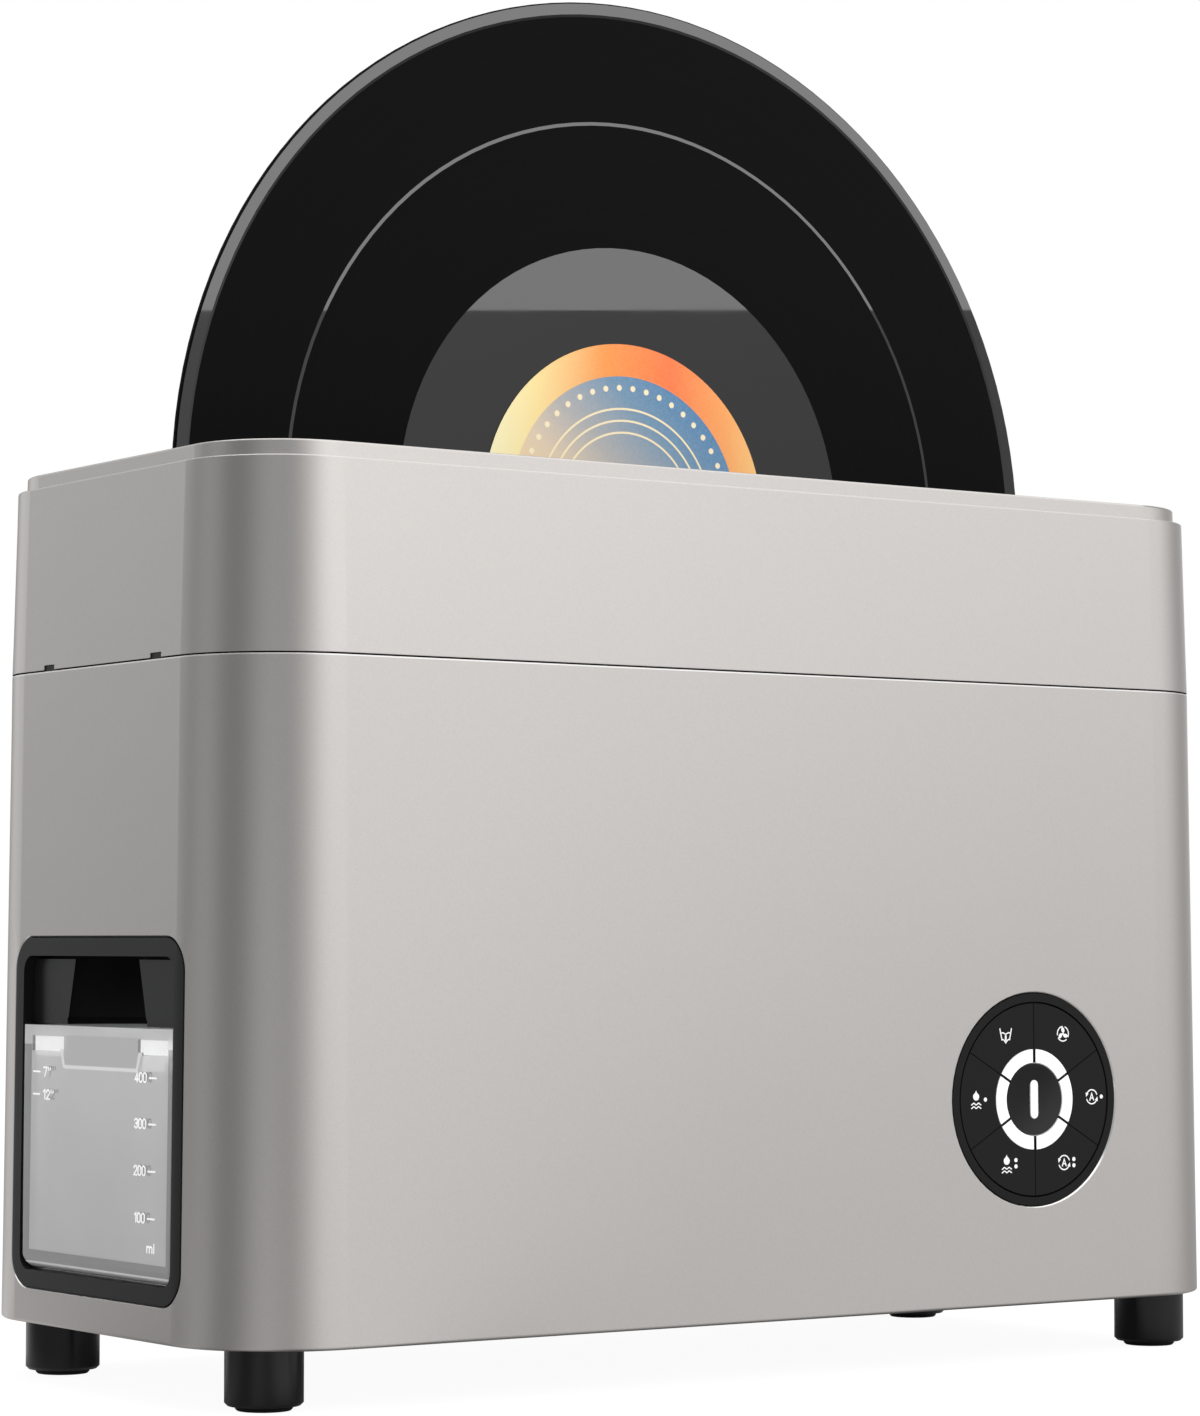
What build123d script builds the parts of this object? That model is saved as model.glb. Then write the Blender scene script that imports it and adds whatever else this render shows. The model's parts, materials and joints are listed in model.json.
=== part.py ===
from build123d import *
from math import atan, cos, degrees, pi, radians, sin, sqrt
import os

# Ultrasonic record cleaning machine, in millimetres.
# X runs along the record slot to the right, -Y is the front, Z is up from the floor under the feet.
# The record stands on edge in the XZ plane, half sunk in a narrow bath, and turns about a Y axis.

# ---------------------------------------------------------------- driving dimensions
# Record (a 12-inch LP)
record_r = 150.8
record_rim_t = 1.9
record_field_t = 1.5
record_rim_w = 3.6
record_land_r = 78.4       # smooth from the label out to here
record_gap_r = 115.0       # a smooth band between two tracks
record_gap_w = 1.0
groove_d = 0.04            # the grooved bands lie this much lower
record_label_r = 50.1
record_label_t = 0.15
record_hub_t = 1.8
record_hole_r = 3.62
record_drop = 4.9          # the record's centre lies this far below the top of the rim
works_x = 1.3              # bath, record and feet stand this far right of the housing's middle

# Housing
end_room = 22.05           # from the record's edge to the outside of the housing, at its foot
body_w = 2 * (record_r + end_room)
body_d = 155.4
corner_r = 33.2
foot_h = 16.4
seam_h = 178.5             # height of the lower shell
upper_h = 51.6             # height of the upper shell up to its shoulder
rim_h = 4.3
rim_step = 2.5
draft_low = 0.0092         # run of each wall per mm of height
draft_up = 0.0247
wall = 2.6
rim_wall = 2.6
edge_round = 0.9           # along the housing's foot
shoulder_round = 0.4
rim_round = 0.5
hole_chamfer = 0.45
cut_deep = 12.0            # holes in the walls are cut this far in from their faces
seam_gap = 0.45            # shadow line between the shells
lip_t = 1.2
lip_h = 3.0
screw_end = 3.0            # a boss stays closed this far below its top
fit_gap = 0.15             # between moulded pieces that are pushed together
rest_gap = 0.3             # between bodies that move against each other

# Feet
foot_r = 10.3
foot_pad_r = 7.5
foot_pad_h = 1.3
foot_in_x = 19.75          # from the housing's foot to a foot's middle
foot_in_y = 21.6
foot_dx = body_w / 2 - foot_in_x
foot_dy = body_d / 2 - foot_in_y
foot_screw_r = 2.0
foot_head_r = 4.0
foot_head_t = 2.5
foot_head_z = 6.0
foot_lip = 0.8
foot_recess = 1.5
pad_round = 0.5
boss_r = 5.5
boss_h = 24.0
rib_t = 2.0

# Base plate
base_t = 3.0
base_vent_w = 2.4
base_vent_l = 34.0
base_vent_pitch = 7.0
base_vents = 8
base_vent_in = 77.85        # from the housing's foot to the middle of the vents
base_vent_x = body_w / 2 - base_vent_in
base_screw_out = 11.7      # beyond the driver board's end
base_screw_in = 15.7
base_screw_y = body_d / 2 - base_screw_in
base_screw_r = 1.5
base_screw_head_r = 3.0
post_r = 3.0

# Chassis plates that carry bath, blowers and drive
chassis_t = 2.5
chassis_drop = 4.5         # its underside lies this far below the seam
chassis_room = 2.6         # from the lower shell's walls, for the seam clips
gusset_w = 9.0
gusset_h = 20.0
chassis_hole_w = 44.0
chassis_hole_d = 34.0
chassis_hole_r = 6.0
chassis_hole_x = (-50.0, 10.0)

# Bath
bath_gap = 18.0            # inside width
bath_room = 4.7            # between the record's edge and the bath
bath_t = 1.2
bath_flange = 7.0
bath_blend = 8.0

# Rollers
roller_r = 12.0            # where the record's edge runs
roller_flange = 2.4
roller_w = 13.0
roller_angle = 50.0        # from straight down
roller_pocket = 2.2
roller_land = 0.3          # the groove's floor is this much wider than the record's rim, each way
roller_chamfer = 0.8
shaft_r = 3.0
shaft_gap = 0.05
bush_r = 6.0
bush_flange_r = 8.5
bush_flange_t = 1.5
bush_l = 5.0
bush_nose = 1.0
shaft_chamfer = 0.4
guide_r = 5.5
guide_flange = 1.6
guide_pocket = 1.0
guide_w = 9.0
guide_angle = 84.0
guide_pin_r = 1.5
guide_head_r = 2.6
guide_head_t = 1.0
pin_nose = 0.5

# Drive
gear_module = 1.0
gear_teeth = 40
pinion_teeth = 16
gear_w = 6.0
gear_y = 24.0
mesh_slack = 0.15
tooth_high = 0.95          # above and below the pitch circle, in modules
tooth_deep = 1.2
tooth_tip = 0.12           # half widths of a tooth, as shares of the pitch
tooth_mid = 0.235
tooth_root = 0.30
gear_rim = 3.5
gear_hub = 3.0
gear_holes = 5
pinion_hub = 6.0
motor_r = 18.5
motor_room = 9.7           # from the motor's end to the rear face of the housing
motor_step = 2.0
motor_boss_r = 5.9
gearbox_share = 0.45
motor_angle = 135.0        # from the drive roller's axis to the motor's, seen from the front
bracket_t = 2.0
bracket_round = 3.0
bracket_lap = 12.0
bracket_room = 2.0         # between the gear and the bracket
bearing_h = 4.0
bearing_wall = 1.0

# Transducers
horn_r = 19.0
horn_l = 18.0
piezo_r = 15.0
piezo_t = 5.0
tail_r = 16.0
tail_l = 14.0
horn_foot = 6.0
bolt_r = 4.5
bolt_h = 5.0
ring_line = 0.3            # half the width of the line between the two rings
tail_chamfer = 1.5
transducer_x = 52.0
transducer_up = 0.4        # its height, as a share of the way from the spout's elbow to the chassis plate

# Slot and deck
slot_w = 14.0
deck_drop = 8.8            # below the rim's top
deck_t = 2.2
throat_t = 2.0
slot_lip = 3.0
slot_lip_h = 1.0
slot_corner = 2.0
ledge_w = 3.0
ledge_t = 2.4
knife_h = 3.0              # air slit in the throat
knife_l = 230.0
knife_up = 12.0            # above the bath's flange

# Blowers
blower_in = 32.8           # from the record's edge to a blower's axis
blower_x = record_r - blower_in
blower_h = 18.0
blower_t = 1.6
blower_turn = 270.0        # the scroll grows over this angle
blower_boss_r = 6.0
blower_boss_h = 1.5
blower_room = 5.75         # taken off half the depth that is free beside the bath
scroll_grow = 3.6
bath_side = bath_gap / 2 + bath_t + bath_flange
scroll_r = (body_d / 2 - bath_side) / 2 - blower_room
blower_y = bath_side + rest_gap + scroll_grow + scroll_r
blower_eye_in = 9.5        # the eye's edge lies this far inside the scroll
blower_eye_r = scroll_r - blower_eye_in
outlet_l = 4.0
rotor_gap = 3.0            # between rotor and scroll
rotor_r = scroll_r - rotor_gap
blade_w = 7.5
rotor_eye_r = rotor_r - blade_w
rotor_h = 12.0
rotor_drop = 2.2           # under the case's roof
rotor_plate = 1.2
rotor_ring = 1.4
rotor_hub_in = 4.0         # from the blades' inner edges to the hub
rotor_hub_r = rotor_eye_r - rotor_hub_in
rotor_hub_taper = 2.5
rotor_hub_foot = rotor_hub_r - rotor_hub_taper
rotor_hub_cone = 3.0
rotor_blades = 18
blade_t = 0.9
blade_bow = 1.5
blade_sweep = 4.6
blade_short = 0.2
rotor_pin_r = 1.5
duct_neck = 26.0           # length over which the duct swings in to the throat
duct_thin = 6.5
duct_t = 1.4
duct_l = 224.0
duct_end = 6.0
duct_slit_room = 4.0

# Tank bay
bay_y = -1.0
bay_low = 10.0             # frame's outer bottom edge above the housing's foot
bay_frame_w = 94.6
bay_frame_h = 95.3
bay_frame_r = 9.0
bay_open_w = 85.4
bay_open_h = 85.8
bay_open_r = 4.5
bay_open_low = 14.6
bay_frame_t = 3.1
bay_flange = 2.4
flange_t = 1.5
frame_proud = 0.1
bay_wall = 1.8
brow_depth = 3.0           # the finger scoop's front face lies this far inside the left wall's face
brow_gap = 0.9             # shadow line between the brow and the frame over it
brow_gap_d = 1.4
scoop_top_r = 17.8
scoop_low_r = 22.6
scoop_y = -1.0

# Tank
tank_gap = 0.5
tank_h = 66.6
tank_l = 108.4
tank_wall = 2.4
tank_floor = 3.6
tank_skirt = 1.7
tank_r = 1.3
tank_in_r = 2.3
tank_set_back = 0.15       # from the shell's drafted face, which the tank's front follows
lid_drop = 1.2
lid_t = 2.0
lid_skirt = 5.2
lid_skirt_t = 1.6
pocket_w = 41.5
pocket_l = 17.0
pocket_d = 10.4
tank_post_w = 4.0
tank_post_in = 1.6
inlet_back = 14.5          # the tank's inlet lies this far before its back
spout_y = 26.0
spout_bore = 3.0
elbow_up = 7.0
elbow_l = 16.0
elbow_collar_w = 2.0
elbow_collar_h = 1.5
elbow_start = 0.2
filter_r = 9.0
filter_h = 12.0
filter_hole_r = 6.0
filter_web = 0.5

# Drain
nipple_r = 4.0
nipple_l = 10.0
nipple_t = 1.0
nipple_pad_w = 4.0
nipple_pad_h = 2.5
hose_r = 5.2
pump_w = 30.0
pump_h = 26.0
barb_gap = 1.3             # between the bath's nipple and the pump's barb, inside their hose
pump_motor_r = 13.5
pump_motor_l = 46.0
pump_round = 3.0
pump_waist_l = 4.0
pump_end_r = 4.0
pump_end_l = 3.0
pump_post_in = (4.0, 5.0)
hose_bend = 9.0
hose_end = 3.0             # the hose ends this far from the elbow's upright

# Control panel
panel_in = 80.85           # from the housing's foot at the right to the panel's middle
panel_x = body_w / 2 - panel_in
panel_h = 58.8
bezel_r = 30.5
key_out_r = 27.6
ring_out_r = 14.4
ring_in_r = 10.6
start_r = 10.3
key_slit = 0.25
key_run = 0.15
bezel_gap = 0.5            # shadow line between the keys and the bezel
ring_slit = 0.75           # between two segments of the light ring
ring_wall_t = 0.65         # the black wall in it that parts their light
ring_wall_sink = 0.25
key_t = 3.55
key_space = 0.7
key_flange = 0.8
panel_sink = 0.2
key_sink = 0.3
stem_r = 2.0
stem_l = 2.4
switch_w = 4.0
switch_h = 2.0
board_t = 1.6
start_dish = 0.45
bezel_lap_t = 1.4
bezel_flange_w = 2.5
bezel_flange_t = 1.6
bezel_seat = 0.4
shelf_w = 3.5
shelf_t = 2.0
key_foot_t = 1.2
key_foot_slit = 0.4
ring_proud = 0.1

# Boards and rear
board_low = 6.0            # above the base plate
main_board_w = 104.0
main_board_d = 42.0
driver_board_w = 150.0
driver_board_d = 42.0
board_in = 33.7            # from the front or rear face to a board's middle
board_y = body_d / 2 - board_in
jack_in = 52.85
jack_x = body_w / 2 - jack_in
jack_h = 30.0
jack_w = 11.0
jack_l = 13.0
jack_r = 3.2
jack_pin_r = 1.05
jack_round = 1.5
jack_floor = 3.0
jack_pin_sink = 1.5
jack_wing_w = 5.0
jack_wing_h = 3.0
jack_wing_t = 2.1
grille_w = 112.0
grille_h = 30.0
grille_up = 128.0
grille_r = 4.0
louvres = 6
louvre_t = 1.6
louvre_w = 5.0
louvre_angle = 35.0
louvre_sink = 4.6
grille_border = 3.5
grille_deep = 8.0
grille_flange = 2.5
grille_bar = 2.0

# Components on the boards
board_edge = 4.0           # from a board's corner to its post
driver_shift = 22.0        # the driver board stands this far right of the bath's middle
base_screw_x = works_x + driver_shift + driver_board_w / 2 + base_screw_out
chip_w = 18.0
chip_h = 1.6
chip_shift = -5.0
socket_w = 7.0
socket_l = 24.0
socket_h = 7.0
capacitor_r = 4.0
capacitor_h = 11.0
capacitor_pitch = 13.0
coil_w = 34.0
coil_d = 26.0
coil_h = 22.0
coil_shift = -3.0
sink_t = 2.0
sink_h = 18.0
sink_d = 16.0
sink_pitch = 9.0
sink_fins = 4
big_capacitor_r = 7.0
big_capacitor_h = 16.0
big_capacitor_pitch = 17.0
ribbon_w = 12.0
ribbon_t = 0.8
ribbon_rise = 12.0
ribbon_plug = 6.0
ribbon_plug_rim = 1.0

# Seam clips
clip_y = 30.4
clip_w = 6.0
clip_h = 1.3
clip_t = 2.0
clip_sink = 0.4
clip_mid = -0.7

# ---------------------------------------------------------------- heights and places that follow
base_z = foot_h
seam_z = base_z + seam_h
shoulder_z = seam_z + upper_h
rim_z = shoulder_z + rim_h
record_z = rim_z - record_drop
deck_z = rim_z - deck_drop
deck_under = deck_z - deck_t
floor_z = base_z + base_t
chassis_z = seam_z - chassis_drop
chassis_top = chassis_z + chassis_t
flange_top = chassis_top + bath_t
bath_r = record_r + bath_room
bath_bottom = record_z - bath_r - bath_t

roller_reach = record_r + roller_r + rest_gap
roller_dx = roller_reach * sin(radians(roller_angle))
roller_z = record_z - roller_reach * cos(radians(roller_angle))
pocket_r = roller_r + roller_flange + roller_pocket
guide_reach = record_r + guide_r + rest_gap
guide_dx = guide_reach * sin(radians(guide_angle))
guide_z = record_z - guide_reach * cos(radians(guide_angle))
guide_pocket_r = guide_r + guide_flange + guide_pocket

gear_pitch_r = gear_module * gear_teeth / 2
pinion_pitch_r = gear_module * pinion_teeth / 2
mesh_reach = gear_pitch_r + pinion_pitch_r + mesh_slack
drive_x = works_x + roller_dx
motor_x = drive_x + mesh_reach * cos(radians(motor_angle))
motor_z = roller_z + mesh_reach * sin(radians(motor_angle))
bracket_y = gear_y + gear_w + bracket_room
motor_l = body_d / 2 - motor_room - bracket_y - bracket_t

left_x = -body_w / 2
frame_low = base_z + bay_low
frame_high = frame_low + bay_frame_h
open_low = base_z + bay_open_low
open_high = open_low + bay_open_h
tank_low = open_low + rest_gap
tank_top = tank_low + tank_h
tank_half = bay_open_w / 2 - tank_gap
tank_front = left_x + tank_set_back + draft_low * (tank_top - base_z)
tank_nose = draft_low * tank_h             # its foot stands out this far from its top
tank_back = tank_front + tank_l
bay_back = tank_back + rest_gap
inlet_x = tank_back - inlet_back
elbow_z = tank_top + rest_gap + bay_wall + elbow_up
panel_back_x = left_x + draft_low * bay_frame_h + bay_frame_t
brow_x = left_x + draft_low * (bay_open_low + bay_open_h) + brow_depth

panel_z = base_z + panel_h
key_back = -body_d / 2 + draft_low * panel_h + key_sink + key_t
switch_y = key_back + stem_l + key_space
board_y0 = switch_y + switch_h

low_angle = degrees(atan(draft_low))
up_angle = degrees(atan(draft_up))


# ---------------------------------------------------------------- small helpers
def block(x0, x1, y0, y1, z0, z1):
    """A box between two corners."""
    return Pos((x0 + x1) / 2, (y0 + y1) / 2, (z0 + z1) / 2) * Box(x1 - x0, y1 - y0, z1 - z0)


def slab_y(sketch, y0, y1):
    """A sketch drawn in X and Z, filled from y0 to y1."""
    return extrude(Plane(origin=(0, y1, 0), x_dir=(1, 0, 0), z_dir=(0, -1, 0)) * sketch, y1 - y0)


def slab_x(sketch, x0, x1):
    """A sketch drawn in Y and Z, filled from x0 to x1."""
    return extrude(Plane(origin=(x0, 0, 0), x_dir=(0, 1, 0), z_dir=(1, 0, 0)) * sketch, x1 - x0)


def slab_z(sketch, z0, z1):
    """A sketch drawn in X and Y, filled from z0 to z1."""
    return extrude(Pos(0, 0, z0) * sketch, z1 - z0)


def rod_y(x, z, r, y0, y1):
    return slab_y(Pos(x, z) * Circle(r), y0, y1)


def rod_z(x, y, r, z0, z1):
    return slab_z(Pos(x, y) * Circle(r), z0, z1)


def rod_x(y, z, r, x0, x1):
    return slab_x(Pos(y, z) * Circle(r), x0, x1)


def turned_y(x, z, points):
    """A profile of (radius, y) points turned about the Y axis through x and z."""
    face = make_face(Polyline([(x + r, y) for r, y in points], close=True))
    return revolve(Pos(0, 0, z) * face, axis=Axis((x, 0, z), (0, 1, 0)))


def turned_z(x, y, points):
    """A profile of (radius, z) points turned about the Z axis through x and y."""
    face = make_face(Polyline([(r, z) for r, z in points], close=True))
    return Pos(x, y, 0) * revolve(Plane.XZ * face, axis=Axis.Z)


def low_block(inset, z0, z1):
    """The lower shell's drafted outline, drawn in by inset, between two heights."""
    start = inset + draft_low * (z0 - base_z)
    outline = RectangleRounded(body_w - 2 * start, body_d - 2 * start, corner_r - start)
    return extrude(Pos(0, 0, z0) * outline, z1 - z0, taper=low_angle)


def up_block(inset, z0, z1):
    """The upper shell's drafted outline, drawn in by inset, between two heights."""
    start = inset + draft_low * seam_h + draft_up * (z0 - seam_z)
    outline = RectangleRounded(body_w - 2 * start, body_d - 2 * start, corner_r - start)
    return extrude(Pos(0, 0, z0) * outline, z1 - z0, taper=up_angle)


def turned_round(shape):
    """The same piece on the other side: half a turn about the bath's middle."""
    return Pos(works_x, 0, 0) * Rot(0, 0, 180) * Pos(-works_x, 0, 0) * shape


parts = {}


def keep(name, *shapes):
    """Files one sub-part, as one solid or a group of separate ones."""
    solids = [s for shape in shapes for s in shape.solids()]
    parts[name] = solids[0] if len(solids) == 1 else Compound(children=solids)


# ---------------------------------------------------------------- openings that several pieces share
bay_mid_z = (frame_low + frame_high) / 2
open_mid_z = (open_low + open_high) / 2
frame_outline = Pos(bay_y, bay_mid_z) * RectangleRounded(bay_frame_w, bay_frame_h, bay_frame_r)
hole_outline = Pos(bay_y, bay_mid_z) * RectangleRounded(
    bay_frame_w + 2 * fit_gap, bay_frame_h + 2 * fit_gap, bay_frame_r + fit_gap
)
flange_outline = Pos(bay_y, bay_mid_z) * RectangleRounded(
    bay_frame_w + 2 * bay_flange, bay_frame_h + 2 * bay_flange, bay_frame_r + bay_flange
)
open_outline = Pos(bay_y, open_mid_z) * RectangleRounded(bay_open_w, bay_open_h, bay_open_r)

works = Pos(works_x, record_z)
roller_spots = [(works_x - roller_dx, roller_z), (works_x + roller_dx, roller_z)]
guide_spots = [(works_x - guide_dx, guide_z), (works_x + guide_dx, guide_z)]


def foot_spots():
    return [(works_x + sx * foot_dx, sy * foot_dy) for sx in (-1, 1) for sy in (-1, 1)]


def base_screw_spots():
    return [(sx * base_screw_x, sy * base_screw_y) for sx in (-1, 1) for sy in (-1, 1)]


# ---------------------------------------------------------------- housing
def gusset(x, side):
    """A triangular rib under the chassis plate, on the front (-1) or rear (1) wall."""
    root = body_d / 2 - draft_low * seam_h - wall / 2
    tip = root - wall / 2 - gusset_w
    corners = [(side * root, chassis_z), (side * tip, chassis_z), (side * root, chassis_z - gusset_h)]
    face = make_face(Polyline(corners, close=True))
    return slab_x(face, x - rib_t / 2, x + rib_t / 2)


def rib_to_wall(x, y, top):
    """An upright rib from a screw boss to the nearer of the front and rear walls."""
    near = 1 if y > 0 else -1
    deep = body_d / 2 - wall / 2
    return block(x - rib_t / 2, x + rib_t / 2, min(y, near * deep), max(y, near * deep), floor_z, top)


def lower_shell():
    body = low_block(0, base_z, seam_z)
    body = fillet(body.edges().group_by(Axis.Z)[0], edge_round)
    body -= low_block(wall, base_z - 1, seam_z + 1)
    lip = low_block(wall - lip_t, seam_z - lip_h, seam_z + lip_h)
    body += lip - low_block(wall, seam_z - lip_h - 1, seam_z + lip_h + 1)
    for y in clip_spots():
        body -= block(-body_w, body_w, y - clip_w / 2, y + clip_w / 2, seam_z, seam_z + lip_h + 1)
    fixings = []
    for x, y in foot_spots():
        fixings.append(rod_z(x, y, boss_r, floor_z, floor_z + boss_h))
        side = 1 if x > 0 else -1
        far = body_w / 2 - wall / 2
        fixings.append(block(min(x, side * far), max(x, side * far), y - rib_t / 2, y + rib_t / 2,
                             floor_z, floor_z + boss_h))
        fixings.append(rib_to_wall(x, y, floor_z + boss_h))
    for x, y in base_screw_spots():
        fixings.append(rod_z(x, y, boss_r - 1, floor_z, floor_z + boss_h / 2))
        fixings.append(rib_to_wall(x, y, floor_z + boss_h / 2))
    for x in (-body_w / 4, 0, body_w / 4):
        fixings += [gusset(x, -1), gusset(x, 1)]
    inside = low_block(wall / 2, base_z, seam_z)
    for piece in fixings:
        body += piece & inside
    for x, y in foot_spots():
        body -= rod_z(x, y, foot_screw_r, floor_z - 1, floor_z + boss_h - screw_end)
    for x, y in base_screw_spots():
        body -= rod_z(x, y, base_screw_r, floor_z - 1, floor_z + boss_h / 2 - screw_end)
    # tank bay, control panel, air grille and power inlet
    body -= slab_x(hole_outline, left_x - wall, left_x + cut_deep)
    body -= slab_x(flange_outline, left_x + wall + draft_low * (frame_high - base_z), left_x + cut_deep)
    body -= rod_y(panel_x, panel_z, bezel_r + fit_gap, -body_d / 2 - wall, -body_d / 2 + cut_deep)
    bay_skin = left_x + wall / 2 + draft_low * bay_frame_h
    bay_edges = [e for e in body.edges() if e.center().X < bay_skin
                 and frame_low - 1 < e.center().Z < frame_high + 1]
    body = chamfer(bay_edges, hole_chamfer)
    panel_skin = -body_d / 2 + wall / 2 + draft_low * panel_h
    panel_edges = [e for e in body.edges() if e.center().Y < panel_skin
                   and abs(e.center().X - panel_x) < 2 * bezel_r
                   and abs(e.center().Z - panel_z) < bezel_r + 1]
    body = chamfer(panel_edges, hole_chamfer)
    grille_hole = Pos(works_x, base_z + grille_up) * RectangleRounded(grille_w, grille_h, grille_r)
    body -= slab_y(grille_hole, body_d / 2 - cut_deep, body_d / 2 + wall)
    jack_hole = Pos(jack_x, base_z + jack_h) * RectangleRounded(jack_w, jack_w, jack_round)
    body -= slab_y(jack_hole, body_d / 2 - cut_deep, body_d / 2 + wall)
    return body


def clip_spots():
    return [clip_mid - clip_y, clip_mid + clip_y]


def upper_shell():
    foot = seam_z + seam_gap
    body = up_block(0, foot, shoulder_z)
    body = fillet(body.edges().group_by(Axis.Z)[-1], shoulder_round)
    rim = up_block(rim_step, shoulder_z - wall, rim_z)
    body += fillet(rim.edges().group_by(Axis.Z)[-1], rim_round)
    body -= up_block(wall, foot - 1, shoulder_z - wall)
    body -= up_block(rim_step + rim_wall, shoulder_z - wall - 1, rim_z + 1)
    body -= up_block(wall - lip_t - fit_gap, foot - 1, seam_z + lip_h + fit_gap)
    ledge_top = deck_under
    ledge = up_block(wall / 2, ledge_top - ledge_t, ledge_top)
    ledge -= up_block(rim_step + rim_wall + ledge_w, ledge_top - ledge_t - 1, ledge_top + 1)
    throat_half = slot_w / 2 + throat_t + rest_gap
    inner_half = body_w / 2 - 2 * wall
    ledge -= block(-inner_half, inner_half, -throat_half, throat_half, ledge_top - ledge_t - 1, ledge_top + 1)
    body += ledge
    for y in clip_spots():
        notch = block(left_x, left_x + 3 * wall, y - clip_w / 2, y + clip_w / 2, foot - 1, foot + clip_h)
        body -= notch
        body -= mirror(notch, about=Plane.YZ)
    return body


def snap_clips():
    """Four black clips astride the lower shell's wall: each shows its nose in a notch of the seam."""
    skin_x = body_w / 2 - draft_low * seam_h
    lip_in = skin_x - wall
    clips = []
    for side in (-1, 1):
        for y in clip_spots():
            y0 = y - clip_w / 2 + fit_gap
            y1 = y + clip_w / 2 - fit_gap
            nose_top = seam_z + seam_gap + clip_h - fit_gap
            nose = block(lip_in - clip_t, skin_x - clip_sink, y0, y1, seam_z, nose_top)
            tongue = block(lip_in - clip_t, lip_in, y0, y1, chassis_z, seam_z)
            clip = nose + tongue
            clips.append(clip if side > 0 else mirror(clip, about=Plane.YZ))
    return clips


def base_plate():
    body = low_block(wall + fit_gap, base_z, floor_z)
    for side in (-1, 1):
        for i in range(base_vents):
            x = side * base_vent_x + (i - (base_vents - 1) / 2) * base_vent_pitch
            body -= slab_z(Pos(x, 0) * Rot(0, 0, 90) * SlotOverall(base_vent_l, base_vent_w),
                           base_z - 1, floor_z + 1)
    for x, y in foot_spots():
        body -= rod_z(x, y, foot_screw_r + fit_gap, base_z - 1, floor_z + 1)
    for x, y in base_screw_spots():
        body -= rod_z(x, y, base_screw_r + fit_gap, base_z - 1, floor_z + 1)
        body -= rod_z(x, y, base_screw_head_r + fit_gap, base_z - 1, base_z + base_t / 2)
    for x, y, top in board_post_spots() + pump_post_spots():
        body += rod_z(x, y, post_r, base_z + base_t / 2, top)
    return body


def foot(x, y):
    r = foot_r
    low = foot_pad_h
    step = low + foot_recess
    head_top = foot_head_z + foot_head_t
    screw_hole = foot_screw_r + fit_gap
    head_hole = foot_head_r + fit_gap
    profile = [(screw_hole, base_z), (r, base_z), (r, low + foot_lip), (r - foot_lip, low),
               (foot_pad_r, low), (foot_pad_r - foot_recess, step), (head_hole, step),
               (head_hole, head_top), (screw_hole, head_top)]
    return turned_z(x, y, profile)


def foot_pad(x, y):
    low = foot_pad_h
    step = low + foot_recess
    profile = [(0, 0), (foot_pad_r - pad_round, 0), (foot_pad_r, pad_round), (foot_pad_r, low),
               (foot_pad_r - foot_recess, step), (foot_head_r, step), (foot_head_r, foot_head_z),
               (0, foot_head_z)]
    return turned_z(x, y, profile)


def foot_screw(x, y):
    head = foot_head_z + foot_head_t
    profile = [(0, foot_head_z), (foot_head_r, foot_head_z), (foot_head_r, head), (foot_screw_r, head),
               (foot_screw_r, floor_z + boss_h / 2), (0, floor_z + boss_h / 2)]
    return turned_z(x, y, profile)


def base_screw(x, y):
    head = base_z + base_t / 2
    top = floor_z + boss_h / 4
    profile = [(0, base_z), (base_screw_head_r, base_z), (base_screw_head_r, head),
               (base_screw_r, head), (base_screw_r, top), (0, top)]
    return turned_z(x, y, profile)


# ---------------------------------------------------------------- bath
def bath_outline(grow, top):
    """Half disc round the record with a pocket for each roller, grown outwards by grow."""
    disc = works * Circle(bath_r + grow)
    for x, z in roller_spots:
        disc += Pos(x, z) * Circle(pocket_r + grow)
    cut = Pos(works_x, top + record_r) * Rectangle(4 * record_r, 2 * record_r)
    return disc - cut


def bath_trough():
    half = bath_gap / 2
    body = slab_y(bath_outline(bath_t, flange_top), -half - bath_t, half + bath_t)
    reach = sqrt((bath_r + bath_t) ** 2 - (record_z - chassis_top) ** 2) + bath_flange
    flange = Pos(works_x, 0) * RectangleRounded(2 * reach, bath_gap + 2 * (bath_t + bath_flange), bath_blend)
    body += slab_z(flange, chassis_top, flange_top)
    body -= slab_y(bath_outline(0, flange_top + 1), -half, half)
    for x, z in roller_spots:
        body -= rod_y(x, z, bush_r, -half - bath_t - 1, half + bath_t + 1)
    body -= rod_z(works_x, 0, nipple_r - nipple_t, bath_bottom - 1, bath_bottom + 2 * bath_t)
    return body


def chassis_plate():
    """Two plates, one before and one behind the bath; the bath hangs between them by its flange."""
    body = low_block(wall + chassis_room, chassis_z, chassis_top)
    bath_half = bath_gap / 2 + bath_t + fit_gap
    body -= block(-body_w, body_w, -bath_half, bath_half, chassis_z - 1, chassis_top + 1)
    eye = rod_z(works_x - blower_x, -blower_y, blower_eye_r, chassis_z - 1, chassis_top + 1)
    body -= eye
    body -= turned_round(eye)
    for dx in chassis_hole_x:
        outline = RectangleRounded(chassis_hole_w, chassis_hole_d, chassis_hole_r)
        hole = slab_z(Pos(works_x + dx, -blower_y) * outline, chassis_z - 1, chassis_top + 1)
        body -= hole
        body -= turned_round(hole)
    return body


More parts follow.
